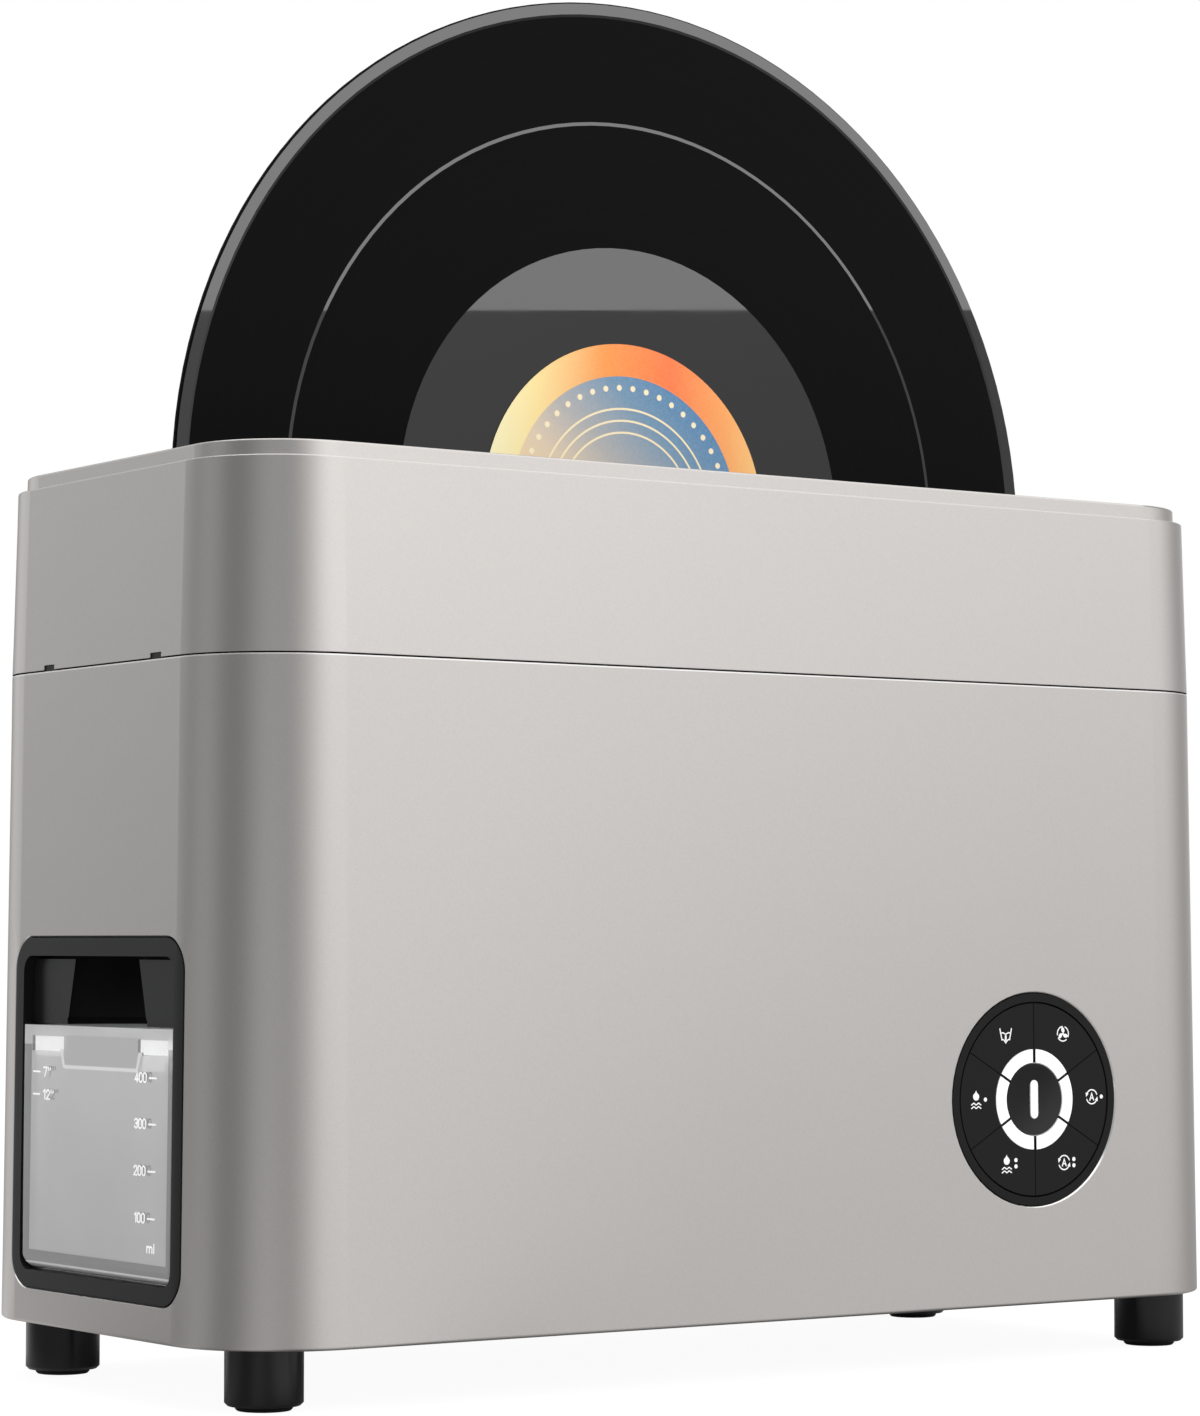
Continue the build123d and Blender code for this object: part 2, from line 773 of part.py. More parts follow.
def transducer(x, side):
    """A bolted ultrasonic horn on the bath's wall: tapered aluminium horn, two ceramic rings, steel tail."""
    root = bath_gap / 2 + bath_t
    z = elbow_z + transducer_up * (chassis_z - elbow_z)
    a = root + horn_l
    b = a + 2 * piezo_t
    c = b + tail_l
    neck = piezo_r - 1
    low_line = a + piezo_t - ring_line
    high_line = a + piezo_t + ring_line
    horn = [(0, root), (horn_r, root), (horn_r, root + horn_foot), (piezo_r + 1, a)]
    rings = [(piezo_r, a), (piezo_r, low_line), (neck, low_line), (neck, high_line),
             (piezo_r, high_line), (piezo_r, b)]
    tail = [(tail_r, b), (tail_r, c - tail_chamfer), (tail_r - tail_chamfer, c)]
    bolt = [(bolt_r, c), (bolt_r, c + bolt_h), (0, c + bolt_h)]
    profile = horn + rings + tail + bolt
    return turned_y(x, z, [(r, side * y) for r, y in profile])


# ---------------------------------------------------------------- rollers and drive
def grooved(x, z, run_r, flange, width, bore):
    """A roller with a vee groove that centres the record's edge."""
    half = width / 2
    land = record_rim_t / 2 + roller_land
    crown = run_r + flange
    c = roller_chamfer
    profile = [(bore, -half), (crown - c, -half), (crown, -half + c), (crown, -half + 2 * c),
               (run_r, -land), (run_r, land),
               (crown, half - 2 * c), (crown, half - c), (crown - c, half), (bore, half)]
    return turned_y(x, z, profile)


def toothed_wheel(teeth, width):
    """A spur gear about the Y axis at the origin, its first tooth along +X; flanks taper from root to tip."""
    pitch = gear_module * teeth / 2
    root = pitch - tooth_deep * gear_module
    tip = pitch + tooth_high * gear_module
    step = 2 * pi / teeth
    wheel = Circle(root)
    sunk = root - mesh_slack
    corners = [(sunk, tooth_root * step), (pitch, tooth_mid * step), (tip, tooth_tip * step)]
    flank = [(r * cos(a), r * sin(a)) for r, a in corners]
    tooth = make_face(Polyline(flank + [(x, -y) for x, y in reversed(flank)], close=True))
    wheel += [Rot(0, 0, degrees(step) * i) * tooth for i in range(teeth)]
    return slab_y(wheel, 0, width)


def set_wheel(wheel, x, y, z, turn):
    """Turns a wheel about its own Y axis (anticlockwise seen from the front) and sets it in place."""
    return Pos(x, y, z) * Rot(0, -turn, 0) * wheel


def drive_gear():
    wheel = toothed_wheel(gear_teeth, gear_w)
    hub_r = shaft_r + gear_hub
    rim_r = gear_pitch_r - gear_rim
    for i in range(gear_holes):
        turn = 360 * (i + 0.5) / gear_holes
        lightening = Rot(0, 0, turn) * Pos((hub_r + rim_r) / 2, 0) * Circle((rim_r - hub_r) / 2)
        wheel -= slab_y(lightening, -1, gear_w + 1)
    wheel -= rod_y(0, 0, shaft_r, -1, gear_w + 1)
    return set_wheel(wheel, drive_x, gear_y, roller_z, motor_angle)


def motor_pinion():
    wheel = toothed_wheel(pinion_teeth, gear_w)
    half_tooth = 180 / pinion_teeth
    wheel += rod_y(0, 0, shaft_r, gear_w, gear_w + pinion_hub)
    return set_wheel(wheel, motor_x, gear_y, motor_z, motor_angle + 180 + half_tooth)


def shaft(x, last_y):
    body = rod_y(x, roller_z, shaft_r, -bath_gap / 2 - bush_l, last_y)
    return chamfer(body.edges().filter_by(GeomType.CIRCLE), shaft_chamfer)


def shaft_bush(x, side):
    """A flanged bearing bush with its seal, pressed into the bath's wall."""
    root = bath_gap / 2
    inner = root - bush_nose
    outer = root + bath_t
    bore = shaft_r + shaft_gap
    flange_end = outer + bush_flange_t
    profile = [(bore, inner), (bush_r, inner), (bush_r, outer), (bush_flange_r, outer),
               (bush_flange_r, flange_end), (bush_r, flange_end + bush_nose),
               (bush_r, outer + bush_l), (bore, outer + bush_l)]
    return turned_y(x, roller_z, [(r, side * y) for r, y in profile])


def motor_bracket():
    """A bent plate under the chassis plate, with the motor's seat and the drive shaft's end bearing."""
    y0 = bracket_y
    y1 = bracket_y + bracket_t
    left = motor_x - motor_r
    right = drive_x + 2 * bush_r
    low = roller_z - 2 * bush_r
    middle = Pos((left + right) / 2, (low + chassis_z) / 2)
    outline = middle * RectangleRounded(right - left, chassis_z - low, bracket_round)
    body = slab_y(outline, y0, y1)
    body += block(left + bracket_round, right - bracket_round, y0, y1 + bracket_lap,
                  chassis_z - bracket_t, chassis_z)
    bearing = bush_r + bearing_wall
    body += rod_y(drive_x, roller_z, bearing, y0, y1 + bearing_h)
    body -= rod_y(drive_x, roller_z, shaft_r + shaft_gap, y0 - 1, y1 + bearing_h + 1)
    body -= rod_y(motor_x, motor_z, motor_boss_r + fit_gap, y0 - 1, y1 + 1)
    return body


def drive_motor():
    """A round geared motor: gearbox can, stepped waist, motor can and rear bearing boss."""
    y0 = bracket_y + bracket_t
    y1 = y0 + motor_l * gearbox_share
    y2 = y0 + motor_l
    bore = shaft_r + shaft_gap
    can_r = motor_r - motor_step
    nose = [(bore, y0 - bracket_t), (motor_boss_r, y0 - bracket_t), (motor_boss_r, y0)]
    gearbox = [(motor_r - roller_chamfer, y0), (motor_r, y0 + roller_chamfer), (motor_r, y1)]
    can = [(can_r, y1 + 1), (can_r, y2 - 1), (can_r - 1, y2)]
    boss = [(motor_boss_r, y2), (motor_boss_r, y2 + motor_step), (0, y2 + motor_step)]
    shaft_well = [(0, y0 + pinion_hub), (bore, y0 + pinion_hub)]
    return turned_y(motor_x, motor_z, nose + gearbox + can + boss + shaft_well)


# ---------------------------------------------------------------- deck, throat and air
def throat_outline(grow):
    disc = works * Circle(bath_r + grow)
    for x, z in guide_spots:
        disc += Pos(x, z) * Circle(guide_pocket_r + grow)
    return disc


def top_deck():
    inset = rim_step + rim_wall + fit_gap
    body = up_block(inset, deck_under, deck_z)
    half = slot_w / 2
    band = Pos(works_x, (flange_top + deck_z) / 2) * Rectangle(3 * record_r, deck_z - flange_top)
    throat = slab_y(throat_outline(throat_t) & band, -half - throat_t, half + throat_t)
    mouth = 2 * sqrt(bath_r ** 2 - (record_z - deck_z) ** 2)
    lip = Pos(works_x, 0) * RectangleRounded(mouth + 2 * slot_lip, slot_w + 2 * slot_lip, slot_w / 2)
    lip_body = slab_z(lip, deck_under, deck_z + slot_lip_h)
    lip_body = fillet(lip_body.edges().group_by(Axis.Z)[-1], slot_lip_h - fit_gap)
    body += throat
    body += lip_body
    hollow = throat_outline(0) & (Pos(works_x, deck_z - record_r) * Rectangle(4 * record_r, 2 * record_r))
    body -= slab_y(hollow, -half, half)
    slot = Pos(works_x, 0) * RectangleRounded(mouth, slot_w, slot_corner)
    body -= slab_z(slot, deck_under - 1, deck_z + slot_lip_h + 1)
    knife_z = flange_top + knife_up
    body -= block(works_x - knife_l / 2, works_x + knife_l / 2, -half - throat_t - 1, half + throat_t + 1,
                  knife_z - knife_h / 2, knife_z + knife_h / 2)
    for x, z in guide_spots:
        body -= rod_y(x, z, guide_pin_r, -half - throat_t - 1, half + throat_t + 1)
    return body


def guide_pin(x, z):
    half = slot_w / 2 + throat_t
    head = half + guide_head_t
    nose = half + pin_nose
    return turned_y(x, z, [(0, -head), (guide_head_r, -head), (guide_head_r, -half), (guide_pin_r, -half),
                           (guide_pin_r, half), (guide_pin_r - pin_nose / 2, nose), (0, nose)])


def scroll(grow):
    """A volute outline: its radius grows evenly with the turn, then it runs out along +X as the outlet."""
    points = []
    turns = 12             # points on the scroll's spline
    for i in range(turns + 1):
        a = -radians(blower_turn) * i / turns
        r = scroll_r + grow + scroll_grow * i / turns
        points.append((r * cos(a), r * sin(a)))
    last = points[-1]
    mouth = (scroll_r + scroll_grow + outlet_l, last[1])
    spiral = Spline(points)
    top = Line(points[-1], mouth)
    side = Line(mouth, (mouth[0], 0))
    foot_line = Line((mouth[0], 0), points[0])
    return make_face([spiral, top, side, foot_line])


def blower_case():
    """Front-left blower: a scroll case open below for its eye, and open to the right for its duct."""
    z0 = chassis_top
    z1 = z0 + blower_h
    outer = slab_z(scroll(0), z0, z1)
    inner = slab_z(scroll(-blower_t), z0 + blower_t, z1 - blower_t)
    reach = scroll_r + scroll_grow + outlet_l
    exit_low = blower_t
    exit_high = scroll_r + scroll_grow - blower_t
    body = outer - inner
    body -= block(reach - outlet_l - 2 * scroll_grow, reach + 1, exit_low, exit_high,
                  z0 + blower_t, z1 - blower_t)
    body -= rod_z(0, 0, blower_eye_r, z0 - 1, z0 + blower_t + 1)
    body += rod_z(0, 0, blower_boss_r, z1 - blower_t - blower_boss_h, z1)
    body += rod_z(0, 0, rotor_pin_r, z0 + 2 * blower_t, z1 - blower_t)
    return Pos(works_x - blower_x, -blower_y, 0) * body


def blower_rotor():
    """A squirrel-cage rotor: a cupped hub on a back plate with curved blades tied by a ring."""
    z1 = chassis_top + blower_h - blower_t - rotor_drop
    z0 = z1 - rotor_h
    plate = z1 - rotor_plate
    bore = rotor_pin_r + shaft_gap
    foot_z = z0 + rotor_plate
    hub = turned_z(0, 0, [(bore, foot_z), (rotor_hub_foot, foot_z), (rotor_hub_r, foot_z + rotor_hub_cone),
                          (rotor_hub_r, plate), (rotor_r, plate), (rotor_r, z1), (bore, z1)])
    ring_in = rotor_r - rotor_ring
    ring_top = z0 + rotor_ring
    ring = turned_z(0, 0, [(ring_in, z0), (rotor_r, z0), (rotor_r, ring_top), (ring_in, ring_top)])
    mid_r = (rotor_eye_r + rotor_r) / 2
    tip_r = rotor_r - blade_short
    lead = ThreePointArc((rotor_eye_r, 0), (mid_r, blade_bow), (tip_r, blade_sweep))
    trail_tip = (tip_r - blade_short, blade_sweep + blade_t)
    trail = ThreePointArc((rotor_eye_r, blade_t), (mid_r, blade_bow + blade_t), trail_tip)
    blade_face = make_face([lead, trail, Line(lead @ 0, trail @ 0), Line(lead @ 1, trail @ 1)])
    blade = slab_z(blade_face, z0 + rotor_ring / 2, z1 - rotor_plate / 2)
    cage = hub + ring
    for i in range(rotor_blades):
        cage += Rot(0, 0, 360 * i / rotor_blades) * blade
    return Pos(works_x - blower_x, -blower_y, 0) * cage


def air_duct():
    """A duct from the blower's outlet to the front of the throat, tapering from there to its far end."""
    x0 = works_x - blower_x + scroll_r + scroll_grow + outlet_l
    x1 = x0 + duct_l
    z0 = flange_top
    z1 = chassis_top + blower_h
    near = -slot_w / 2 - throat_t
    mouth_near = -blower_y + scroll_r + scroll_grow
    corners = [(x0, mouth_near), (x0, -blower_y), (x1, near - duct_thin), (x1, near), (x0 + duct_neck, near)]
    plan = make_face(Polyline(corners, close=True))
    body = slab_z(plan, z0, z1) - slab_z(offset(plan, -duct_t), z0 + duct_t, z1 - duct_t)
    body -= block(x0 - 1, x0 + 2 * duct_t, -blower_y + 2 * duct_t, mouth_near - duct_t,
                  z0 + duct_t, z1 - duct_t)
    knife_z = flange_top + knife_up
    slit_x0 = max(x0 + duct_neck + duct_slit_room, works_x - knife_l / 2)
    body -= block(slit_x0, x1 - duct_end, near - duct_t - 1, near + 1,
                  knife_z - knife_h / 2, knife_z + knife_h / 2)
    return body


# ---------------------------------------------------------------- tank bay and tank
def bay_frame():
    """The black frame: it fills the shell's hole, follows its drafted face and seats on a flange."""
    back = panel_back_x
    body = slab_x(frame_outline, left_x - wall, back) & low_block(-frame_proud, base_z, seam_z)
    seat = left_x + wall + draft_low * (frame_high - base_z) + fit_gap
    body += slab_x(flange_outline, seat, back + flange_t)
    body -= slab_x(open_outline, left_x - wall, back + 2 * flange_t)
    return body


def bay_liner():
    """The tunnel that the tank slides in; its brow over the tank's front has a tapered finger scoop."""
    x0 = panel_back_x + flange_t
    x1 = bay_back
    half = bay_open_w / 2
    ceiling = tank_top + rest_gap
    t = bay_wall
    body = block(x0, x1 + t, bay_y - half - t, bay_y + half + t, open_low - t, ceiling + t)
    body += block(x0, x0 + t, bay_y - half - t, bay_y + half + t, ceiling, open_high + t)
    plug = Pos(bay_y, open_mid_z) * RectangleRounded(bay_open_w - fit_gap, bay_open_h - fit_gap, bay_open_r)
    body += slab_x(plug, brow_x, x0 + t) & block(brow_x, x0 + t, -body_d, body_d, ceiling, open_high)
    height = open_high - ceiling
    from_low = (Align.CENTER, Align.CENTER, Align.MIN)
    hood = Pos(brow_x, scoop_y, ceiling) * Cone(scoop_low_r + t, scoop_top_r + t, height + t, align=from_low)
    body += hood & block(brow_x, x0 + t, bay_y - half, bay_y + half, ceiling, open_high - fit_gap)
    body += hood & block(x0, brow_x + 2 * scoop_low_r, bay_y - half, bay_y + half, ceiling, open_high + t)
    body -= block(brow_x - 1, x1, bay_y - half, bay_y + half, open_low, ceiling)
    body -= block(brow_x - 1, brow_x + brow_gap_d, bay_y - half - 1, bay_y + half + 1,
                  open_high - brow_gap, open_high + 1)
    body -= Pos(brow_x, scoop_y, ceiling) * Cone(scoop_low_r, scoop_top_r, height, align=from_low)
    body -= Pos(brow_x, scoop_y, ceiling - 1) * Cylinder(scoop_low_r, t + 1, align=from_low)
    body -= rod_z(inlet_x, spout_y, nipple_r + fit_gap, ceiling - 1, ceiling + t + 1)
    return body


def tank_body():
    half = tank_half
    mid_x = (tank_front + tank_back) / 2
    outline = Pos(mid_x - tank_nose / 2, bay_y) * RectangleRounded(tank_l + tank_nose, 2 * half, tank_r)
    body = slab_z(outline, tank_low, tank_top)
    body = fillet(body.edges().group_by(Axis.Z)[0].filter_by(Axis.X), bay_open_r - tank_gap)
    body &= low_block(tank_set_back, base_z, seam_z)
    t = tank_wall
    hollow = RectangleRounded(tank_l - 2 * t, 2 * (half - t), tank_in_r)
    body -= slab_z(Pos(mid_x, bay_y) * hollow, tank_low + tank_skirt + tank_floor, tank_top + 1)
    foot_well = RectangleRounded(tank_l - 4 * t, 2 * half - 4 * t, tank_in_r)
    body -= slab_z(Pos(mid_x, bay_y) * foot_well, tank_low - 1, tank_low + tank_skirt)
    post_top = tank_top - lid_drop - lid_t - lid_skirt
    post = tank_post_w / 2
    for sx in (-1, 1):
        for sy in (-1, 1):
            x = mid_x + sx * (tank_l / 2 - tank_wall - tank_post_in)
            y = bay_y + sy * (half - tank_wall - tank_post_in)
            body += block(x - post, x + post, y - post, y + post, tank_low + tank_skirt + 1, post_top)
    return body


def tank_lid():
    """A clear lid let into the tank: a skirt, a hanging finger pocket in front, an inlet cup behind."""
    mid_x = (tank_front + tank_back) / 2
    room = tank_wall + rest_gap / 2
    long = tank_l - 2 * room
    wide = 2 * (tank_half - room)
    top = tank_top - lid_drop
    under = top - lid_t
    low = under - lid_skirt
    t = lid_skirt_t
    outline = Pos(mid_x, bay_y) * RectangleRounded(long, wide, tank_in_r)
    body = slab_z(outline, low, top)
    body -= slab_z(Pos(mid_x, bay_y) * RectangleRounded(long - 2 * t, wide - 2 * t, 1), low - 1, under)
    front = mid_x - long / 2
    body += block(front, front + pocket_l, bay_y - pocket_w / 2, bay_y + pocket_w / 2, top - pocket_d, top)
    body -= block(front + t, front + pocket_l - t, bay_y - pocket_w / 2 + t, bay_y + pocket_w / 2 - t,
                  top - pocket_d + t, top + 1)
    x = inlet_x
    body += rod_z(x, spout_y, filter_r + t, top - filter_h, under)
    body -= rod_z(x, spout_y, filter_r, top - filter_h + t, under - filter_web)
    body -= rod_z(x, spout_y, filter_hole_r, top - filter_h - 1, top + 1)
    return body


def tank_filter():
    top = tank_top - lid_drop
    x = inlet_x
    return rod_z(x, spout_y, filter_r - fit_gap / 2, top - filter_h + lid_skirt_t, top - lid_t - filter_web)


def spout_elbow():
    """A barbed elbow seated on the tunnel's ceiling; its foot pours through into the tank's inlet."""
    ceiling = tank_top + rest_gap
    x = inlet_x
    collar = ceiling + bay_wall
    body = rod_z(x, spout_y, nipple_r, ceiling + elbow_start, elbow_z)
    body += rod_z(x, spout_y, nipple_r + elbow_collar_w, collar, collar + elbow_collar_h)
    body += Pos(x, spout_y, elbow_z) * Sphere(nipple_r)
    body += rod_x(spout_y, elbow_z, nipple_r, x, x + elbow_l)
    body -= rod_z(x, spout_y, spout_bore, ceiling - 1, elbow_z)
    body -= Pos(x, spout_y, elbow_z) * Sphere(spout_bore)
    body -= rod_x(spout_y, elbow_z, spout_bore, x, x + elbow_l + 1)
    return body


# ---------------------------------------------------------------- drain
pump_z1 = bath_bottom - nipple_pad_h - 2 * nipple_l - barb_gap
pump_z0 = pump_z1 - pump_h


def pump_post_spots():
    dx = pump_w / 2 - pump_post_in[0]
    dy = pump_w / 2 - pump_post_in[1]
    return [(works_x + sx * dx, sy * dy, pump_z0) for sx in (-1, 1) for sy in (-1, 1)]


def drain_nipple():
    pad_r = nipple_r + nipple_pad_w
    low = bath_bottom - nipple_pad_h
    body = rod_z(works_x, 0, pad_r, low, bath_bottom + bath_t)
    body += rod_z(works_x, 0, nipple_r, low - nipple_l, low)
    hole = rod_z(works_x, 0, nipple_r - nipple_t, low - nipple_l - 1, bath_bottom + 1)
    saddle = slab_y(works * Circle(bath_r + bath_t), -bath_gap, bath_gap)
    return body - hole - saddle


def drain_pump():
    """A small diaphragm pump: square head with two hose barbs, and its round motor lying along X."""
    x0 = works_x - pump_w / 2
    x1 = works_x + pump_w / 2
    zm = (pump_z0 + pump_z1) / 2
    body = block(x0, x1, -pump_w / 2, pump_w / 2, pump_z0, pump_z1)
    body = fillet(body.edges().filter_by(Axis.X), pump_round)
    can_x = x1 + pump_waist_l
    end_x = x1 + pump_motor_l
    body += rod_x(0, zm, pump_motor_r - bearing_wall, x1, can_x)
    body += rod_x(0, zm, pump_motor_r, can_x, end_x)
    body += rod_x(0, zm, pump_end_r, end_x, end_x + pump_end_l)
    body += rod_z(works_x, 0, nipple_r, pump_z1, pump_z1 + nipple_l)
    body += rod_x(0, zm, nipple_r, x0 - nipple_l, x0)
    return body


def tube(path, r, bore):
    outer = sweep(Plane(origin=path @ 0, z_dir=path % 0) * Circle(r), path=path)
    inner = sweep(Plane(origin=path @ 0, z_dir=path % 0) * Circle(bore), path=path)
    return outer - inner


def suction_hose():
    top = bath_bottom - nipple_pad_h
    bore = rod_z(works_x, 0, nipple_r, pump_z1 - 1, top + 1)
    return rod_z(works_x, 0, hose_r, pump_z1, top) - bore


def drain_hose():
    """From the pump's side barb, round behind the tank bay and up to the spout's elbow."""
    zm = (pump_z0 + pump_z1) / 2
    x0 = works_x - pump_w / 2
    bend_x = x0 - nipple_l - 1.5 * hose_bend
    points = [(x0, 0, zm), (bend_x, 0, zm), (bend_x, spout_y, (zm + elbow_z) / 2),
              (bend_x, spout_y, elbow_z), (inlet_x + nipple_r + hose_end, spout_y, elbow_z)]
    path = FilletPolyline(*points, radius=hose_bend)
    return tube(path, hose_r, nipple_r)


# ---------------------------------------------------------------- boards and rear fittings
def board_post_spots():
    spots = []
    for cx, cy, w, d in board_places():
        for sx in (-1, 1):
            for sy in (-1, 1):
                x = cx + sx * (w / 2 - board_edge)
                y = cy + sy * (d / 2 - board_edge)
                spots.append((x, y, floor_z + board_low))
    return spots


def board_places():
    """Middle, width and depth of the main board in front and the driver board behind."""
    return [(works_x, -board_y, main_board_w, main_board_d),
            (works_x + driver_shift, board_y, driver_board_w, driver_board_d)]


def main_board():
    cx, cy, w, d = board_places()[0]
    z = floor_z + board_low
    body = block(cx - w / 2, cx + w / 2, cy - d / 2, cy + d / 2, z, z + board_t)
    top = z + board_t
    chip_x = cx + chip_shift
    body += block(chip_x - chip_w / 2, chip_x + chip_w / 2, cy - chip_w / 2, cy + chip_w / 2,
                  top, top + chip_h)
    socket_x = cx + w / 2 - 1
    body += block(socket_x - socket_w, socket_x, cy - socket_l / 2, cy + socket_l / 2, top, top + socket_h)
    for i in range(3):
        x = cx - w / 2 + capacitor_pitch * (i + 1)
        body += rod_z(x, cy + capacitor_pitch - board_edge, capacitor_r, top, top + capacitor_h)
    return body


def driver_board():
    cx, cy, w, d = board_places()[1]
    z = floor_z + board_low
    top = z + board_t
    body = block(cx - w / 2, cx + w / 2, cy - d / 2, cy + d / 2, z, top)
    coil_x = cx + coil_shift
    body += block(coil_x - coil_w / 2, coil_x + coil_w / 2, cy - coil_d / 2, cy + coil_d / 2, top, top + coil_h)
    sink_x = coil_x + coil_w
    for i in range(sink_fins):
        x = sink_x + sink_pitch * i
        body += block(x, x + sink_t, cy - sink_d, cy, top, top + sink_h)
    for i in (-1, 1):
        x = cx - w / 2 + 2 * big_capacitor_r
        body += rod_z(x, cy + i * big_capacitor_pitch / 2, big_capacitor_r, top, top + big_capacitor_h)
    return body


def dc_jack():
    """The power inlet: a block with a round well and its centre pin, flush with the rear wall."""
    z = base_z + jack_h
    y1 = body_d / 2 - draft_low * (jack_h + jack_w / 2) - frame_proud
    side = jack_w - 2 * fit_gap
    body = slab_y(Pos(jack_x, z) * RectangleRounded(side, side, jack_round - fit_gap), y1 - jack_l, y1)
    wing = Pos(jack_x, z) * RectangleRounded(jack_w + jack_wing_w, jack_w + jack_wing_h, jack_round)
    inside = body_d / 2 - wall - draft_low * (jack_h + jack_w) - frame_proud
    body += slab_y(wing, inside - jack_wing_t, inside)
    floor_y = y1 - jack_l + jack_floor
    body -= rod_y(jack_x, z, jack_r, floor_y, y1 + 1)
    body += rod_y(jack_x, z, jack_pin_r, floor_y - 1, y1 - jack_pin_sink)
    return body


def rear_grille():
    """A louvred air inlet in the rear wall; its blades slope down and outwards."""
    z = base_z + grille_up
    y1 = body_d / 2
    y0 = y1 - grille_deep
    middle = Pos(works_x, z)
    hole = RectangleRounded(grille_w - 2 * fit_gap, grille_h - 2 * fit_gap, grille_r - fit_gap)
    inner_w = grille_w - 2 * grille_border
    inner_h = grille_h - 2 * grille_border
    inside = y1 - wall - draft_low * (grille_up + grille_h / 2 + grille_flange) - fit_gap
    flange_w = grille_w + 2 * grille_flange
    flange_h = grille_h + 2 * grille_flange
    flange = RectangleRounded(flange_w, flange_h, grille_r + grille_flange)
    body = slab_y(middle * hole, y0, y1) & low_block(frame_proud, base_z, seam_z)
    body += slab_y(middle * flange, y0, inside)
    body -= slab_y(middle * RectangleRounded(inner_w, inner_h, grille_r / 2), y0 - 1, y1 + 1)
    pitch = inner_h / louvres
    sunk = block(-body_w, body_w, y0, y1 - draft_low * grille_up - frame_proud,
                 z - grille_h / 2, z + grille_h / 2)
    for i in range(louvres):
        middle_z = z - inner_h / 2 + pitch * (i + 0.5)
        blade = Box(inner_w + 1, louvre_w, louvre_t)
        body += (Pos(works_x, y1 - louvre_sink, middle_z) * Rot(-louvre_angle, 0, 0) * blade) & sunk
    for dx in (-grille_w / 6, grille_w / 6):
        bar_x = works_x + dx
        body += block(bar_x - grille_bar / 2, bar_x + grille_bar / 2, y0, y1 - louvre_sink,
                      z - inner_h / 2 - 1, z + inner_h / 2 + 1)
    return body


# ---------------------------------------------------------------- control panel
skin_y = -body_d / 2 + draft_low * panel_h


def panel_ring(outer, inner, y0, y1):
    return rod_y(panel_x, panel_z, outer, y0, y1) - rod_y(panel_x, panel_z, inner, y0 - 1, y1 + 1)


def under_skin(shape, sink):
    """Trims a panel piece to lie the given depth under the front wall's own drafted face."""
    return shape & low_block(sink, base_z, seam_z)


def panel_bezel():
    """The black ring round the keys, with its cup, the flange it is glued by and the board's shelf."""
    lap = key_back - bezel_lap_t
    front = under_skin(panel_ring(bezel_r, key_out_r + bezel_gap, skin_y - 2, lap), panel_sink)
    cup = panel_ring(bezel_r, key_out_r + key_flange + 2 * key_run, lap, board_y0 + board_t + 1)
    seat = skin_y + wall + bezel_seat
    flange = panel_ring(bezel_r + bezel_flange_w, bezel_r - 1, seat, seat + bezel_flange_t)
    shelf = panel_ring(bezel_r, bezel_r - shelf_w, board_y0 - shelf_t, board_y0)
    return front + cup + flange + shelf


def sector(outer, inner, slit, turn):
    """A sixth of a ring, less half a slit on each side, its middle at the given angle."""
    far = 2 * outer
    half = pi / 6
    back_off = slit / 2 / sin(half)
    out_x = back_off + far * cos(half)
    out_y = far * sin(half)
    wedge = make_face(Polyline([(back_off, 0), (out_x, -out_y), (out_x, out_y)], close=True))
    return Pos(panel_x, panel_z) * Rot(0, 0, turn) * ((Circle(outer) - Circle(inner)) & wedge)


def sector_key(turn):
    inner = ring_out_r + key_run
    cap = under_skin(slab_y(sector(key_out_r, inner, key_slit, turn), skin_y - 2, key_back), key_sink)
    foot_sector = sector(key_out_r + key_flange, inner + 1, key_slit + key_foot_slit, turn)
    cap += slab_y(foot_sector, key_back - key_foot_t, key_back)
    mid = (key_out_r + ring_out_r) / 2
    x = panel_x + mid * cos(radians(turn))
    z = panel_z + mid * sin(radians(turn))
    return cap + rod_y(x, z, stem_r, key_back, key_back + stem_l)


def start_key():
    cap = under_skin(rod_y(panel_x, panel_z, start_r, skin_y - 2, key_back), key_sink)
    ball_r = start_r ** 2 / (2 * start_dish) + start_dish / 2
    front = skin_y + key_sink
    cap -= Pos(panel_x, front + start_dish - ball_r, panel_z) * Sphere(ball_r)
    return cap + rod_y(panel_x, panel_z, stem_r, key_back, key_back + stem_l)


def light_ring():
    segments = []
    for i in range(6):
        piece = slab_y(sector(ring_out_r, ring_in_r, ring_slit, 60 * i), skin_y - 2, board_y0)
        segments.append(under_skin(piece, key_sink - ring_proud))
    return segments


def panel_board():
    """The keys' board with its switches, and six walls on it that part the light ring's segments."""
    body = slab_y(Pos(panel_x, panel_z) * Circle(key_out_r + key_flange), board_y0, board_y0 + board_t)
    ring_mid = (ring_in_r + ring_out_r) / 2
    wall_outline = Rectangle(ring_out_r - ring_in_r, ring_wall_t)
    for i in range(6):
        spoke = Pos(panel_x, panel_z) * Rot(0, 0, 60 * i + 30) * Pos(ring_mid, 0) * wall_outline
        body += under_skin(slab_y(spoke, skin_y - 2, board_y0), key_sink + ring_wall_sink)
    mid = (key_out_r + ring_out_r) / 2
    half = switch_w / 2
    spots = [(panel_x + mid * cos(i * pi / 3), panel_z + mid * sin(i * pi / 3)) for i in range(6)]
    for x, z in spots + [(panel_x, panel_z)]:
        body += block(x - half, x + half, switch_y, board_y0, z - half, z + half)
    return body


